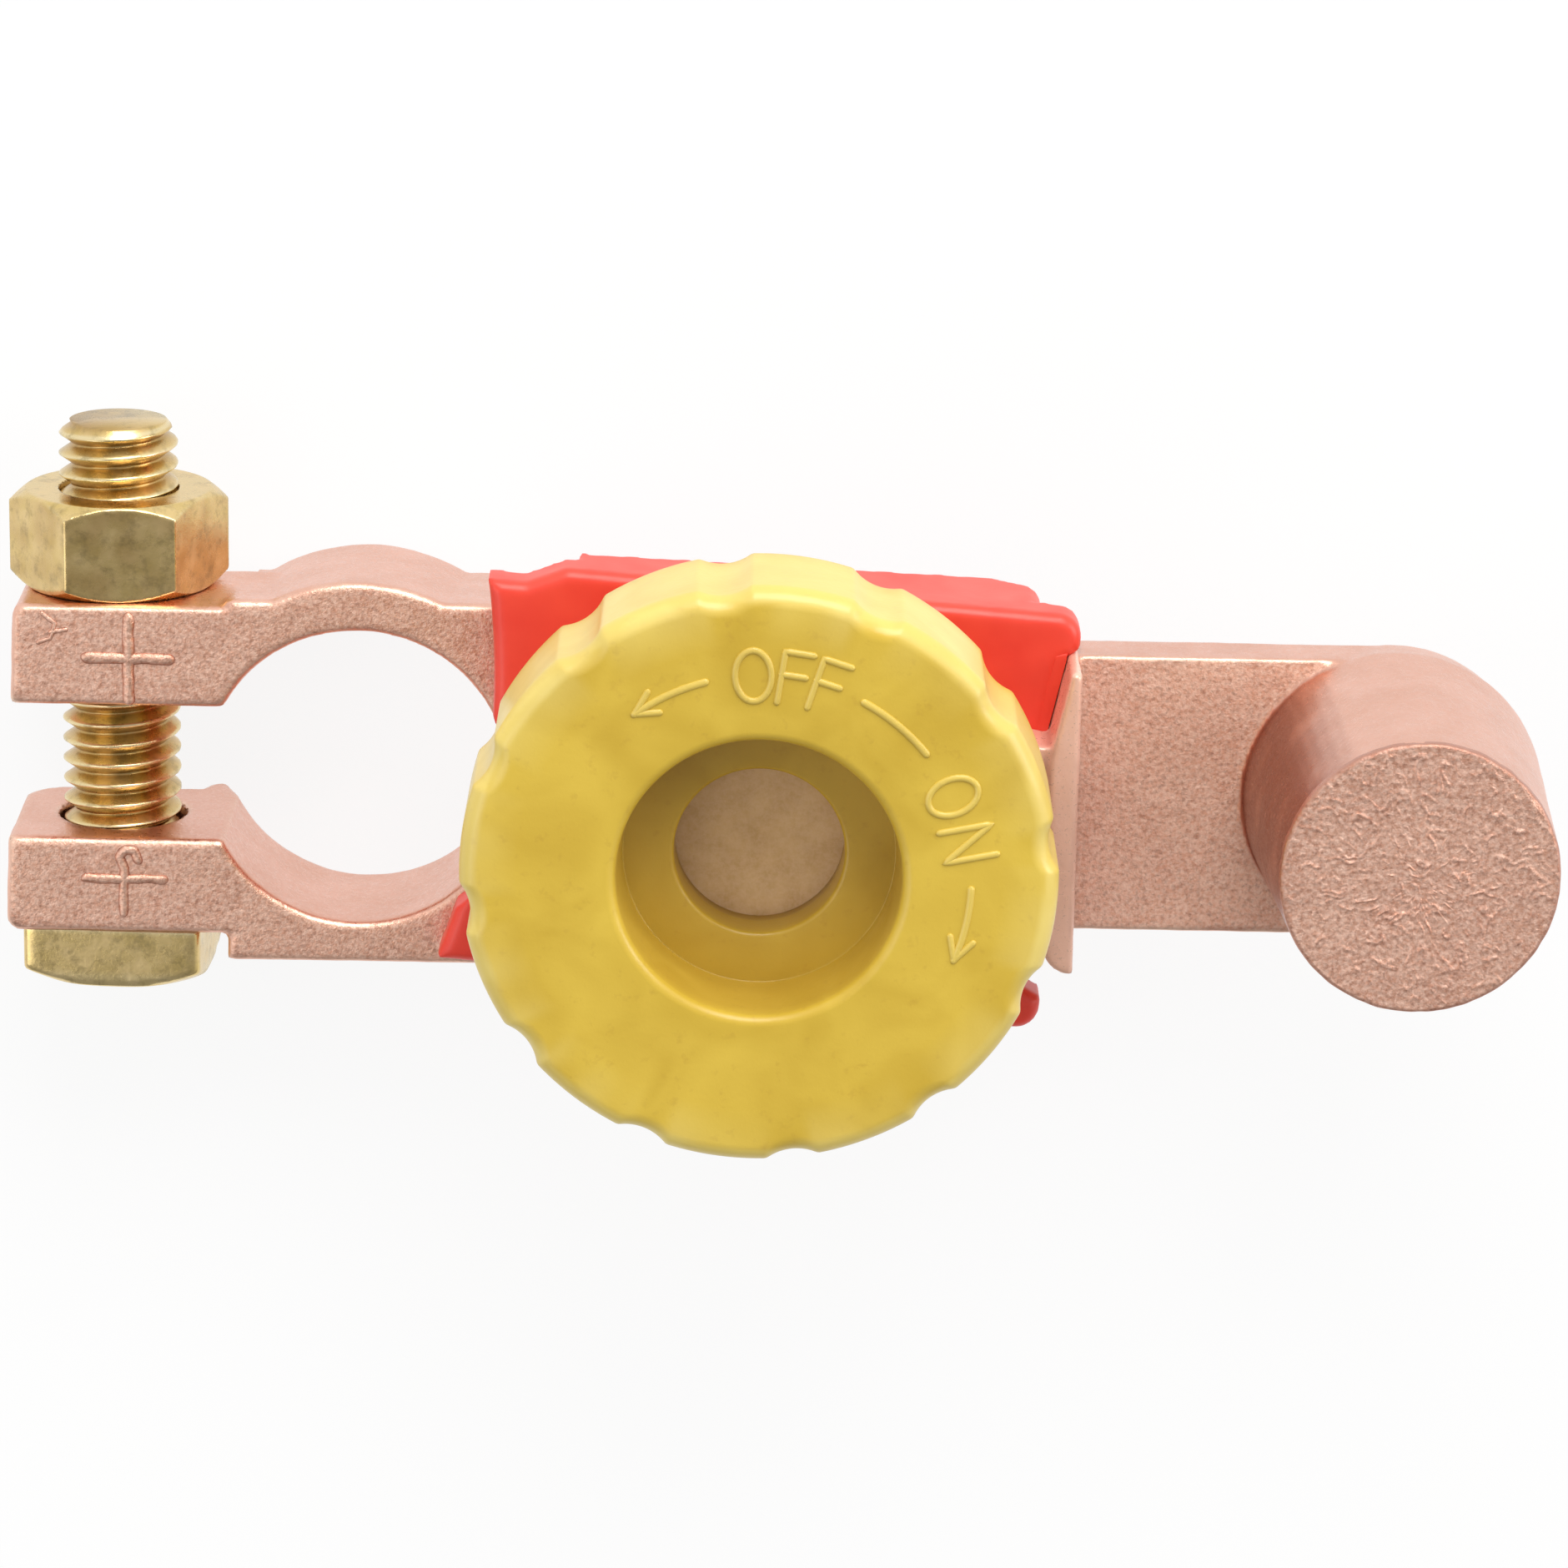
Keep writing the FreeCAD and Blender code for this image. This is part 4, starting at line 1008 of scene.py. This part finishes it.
def floor_material():
    """White for the camera and in reflections, with the object's shadow faintly on it."""
    material = bpy.data.materials.new("floor")
    material.use_nodes = True
    w = Wiring(material.node_tree)
    main = w.tree.nodes["Principled BSDF"]
    w.put(main.inputs["Base Color"], (0.9, 0.9, 0.9, 1))
    w.put(main.inputs["Roughness"], 1.0)
    w.put(main.inputs["Specular IOR Level"], 0.0)
    glow = w.tree.nodes.new("ShaderNodeEmission")
    w.put(glow.inputs["Color"], WHITE)
    w.put(glow.inputs["Strength"], 1.0)
    blend = w.tree.nodes.new("ShaderNodeMixShader")
    w.put(blend.inputs["Fac"], w.math("MULTIPLY", w.on_rays("Camera", "Glossy"), FLOOR_GLOW))
    w.put(blend.inputs[1], main.outputs["BSDF"])
    w.put(blend.inputs[2], glow.outputs["Emission"])
    w.put(w.tree.nodes["Material Output"].inputs["Surface"], blend.outputs["Shader"])
    return material


def studio():
    """A white room, dimmer overhead and on the side of -Y, that the camera sees as plain white."""
    world = bpy.data.worlds.new("studio")
    world.use_nodes = True
    w = Wiring(world.node_tree)
    sky = w.tree.nodes["Background"]
    w.put(sky.inputs["Color"], WHITE)
    way = w.tree.nodes.new("ShaderNodeSeparateXYZ")
    w.put(way.inputs[0], w.tree.nodes.new("ShaderNodeTexCoord").outputs["Generated"])
    by_height = w.ramp(way.outputs["Z"], 0.45, 0.98, ROOM, OVERHEAD, "SMOOTHSTEP")
    by_side = w.ramp(way.outputs["Y"], -0.9, 0.1, 0.35, 1.0, "SMOOTHSTEP")
    strength = w.tree.nodes.new("ShaderNodeMix")
    w.put(strength.inputs["Factor"], w.on_rays("Camera", "Transmission"))
    w.put(strength.inputs["A"], w.math("MULTIPLY", by_height, by_side))
    w.put(strength.inputs["B"], 1.0)
    w.put(sky.inputs["Strength"], strength.outputs["Result"])
    return world


bpy.ops.mesh.primitive_plane_add(size=6, location=(0.03, 0, FLOOR))
floor = bpy.context.active_object
floor.name = "floor"
floor.data.materials.append(floor_material())
scene.world = studio()


def lamp(name, place, size, power):
    """A soft square lamp, aimed at the object."""
    light = bpy.data.lights.new(name, "AREA")
    light.size = size
    light.energy = power
    light.color = (1.0, 0.99, 0.97)
    spot = bpy.data.objects.new(name, light)
    scene.collection.objects.link(spot)
    spot.location = place
    spot.rotation_euler = (CENTRE - Vector(place)).to_track_quat("-Z", "Y").to_euler()


CENTRE = Vector((0.028, 0.0, 0.005))
lamp("key", (0.15, 0.85, 0.50), 0.6, 6.8)
lamp("side", (0.8, 0.25, 0.35), 0.4, 2.3)
lamp("fill", (-0.6, -0.1, 0.75), 0.6, 1.6)

# The camera as fitted to the photograph: the sensor's width in mm, focal length and picture width
# in pixels, its turns, the point that the picture's middle shows, and the distance to it in mm
SENSOR, FOCAL_PIXELS, WIDTH_PIXELS = 36.0, 7055.0, 1880.0
PITCH, YAW, ROLL = math.radians(16.386), math.radians(-0.287), math.radians(1.117)
TARGET, DISTANCE = Vector((28.48 * MM, 0.182 * MM, FRONT)), 392.7

camera_data = bpy.data.cameras.new("camera")
camera = bpy.data.objects.new("camera", camera_data)
scene.collection.objects.link(camera)
scene.camera = camera
camera_data.sensor_width = SENSOR
camera_data.sensor_fit = "HORIZONTAL"
camera_data.lens = SENSOR * FOCAL_PIXELS / WIDTH_PIXELS
camera_data.clip_start = 0.01
camera_data.clip_end = 20.0
back = Vector((
    math.sin(YAW), math.sin(PITCH) * math.cos(YAW), math.cos(PITCH) * math.cos(YAW),
))
up = (Vector((0, 1, 0)) - back * back.y).normalized()
right = up.cross(back)
turned_right = math.cos(ROLL) * right + math.sin(ROLL) * up
turned_up = -math.sin(ROLL) * right + math.cos(ROLL) * up
place = TARGET + back * DISTANCE * MM
camera.matrix_world = Matrix((
    (turned_right.x, turned_up.x, back.x, place.x),
    (turned_right.y, turned_up.y, back.y, place.y),
    (turned_right.z, turned_up.z, back.z, place.z),
    (0, 0, 0, 1),
))

scene.view_settings.view_transform = "Standard"
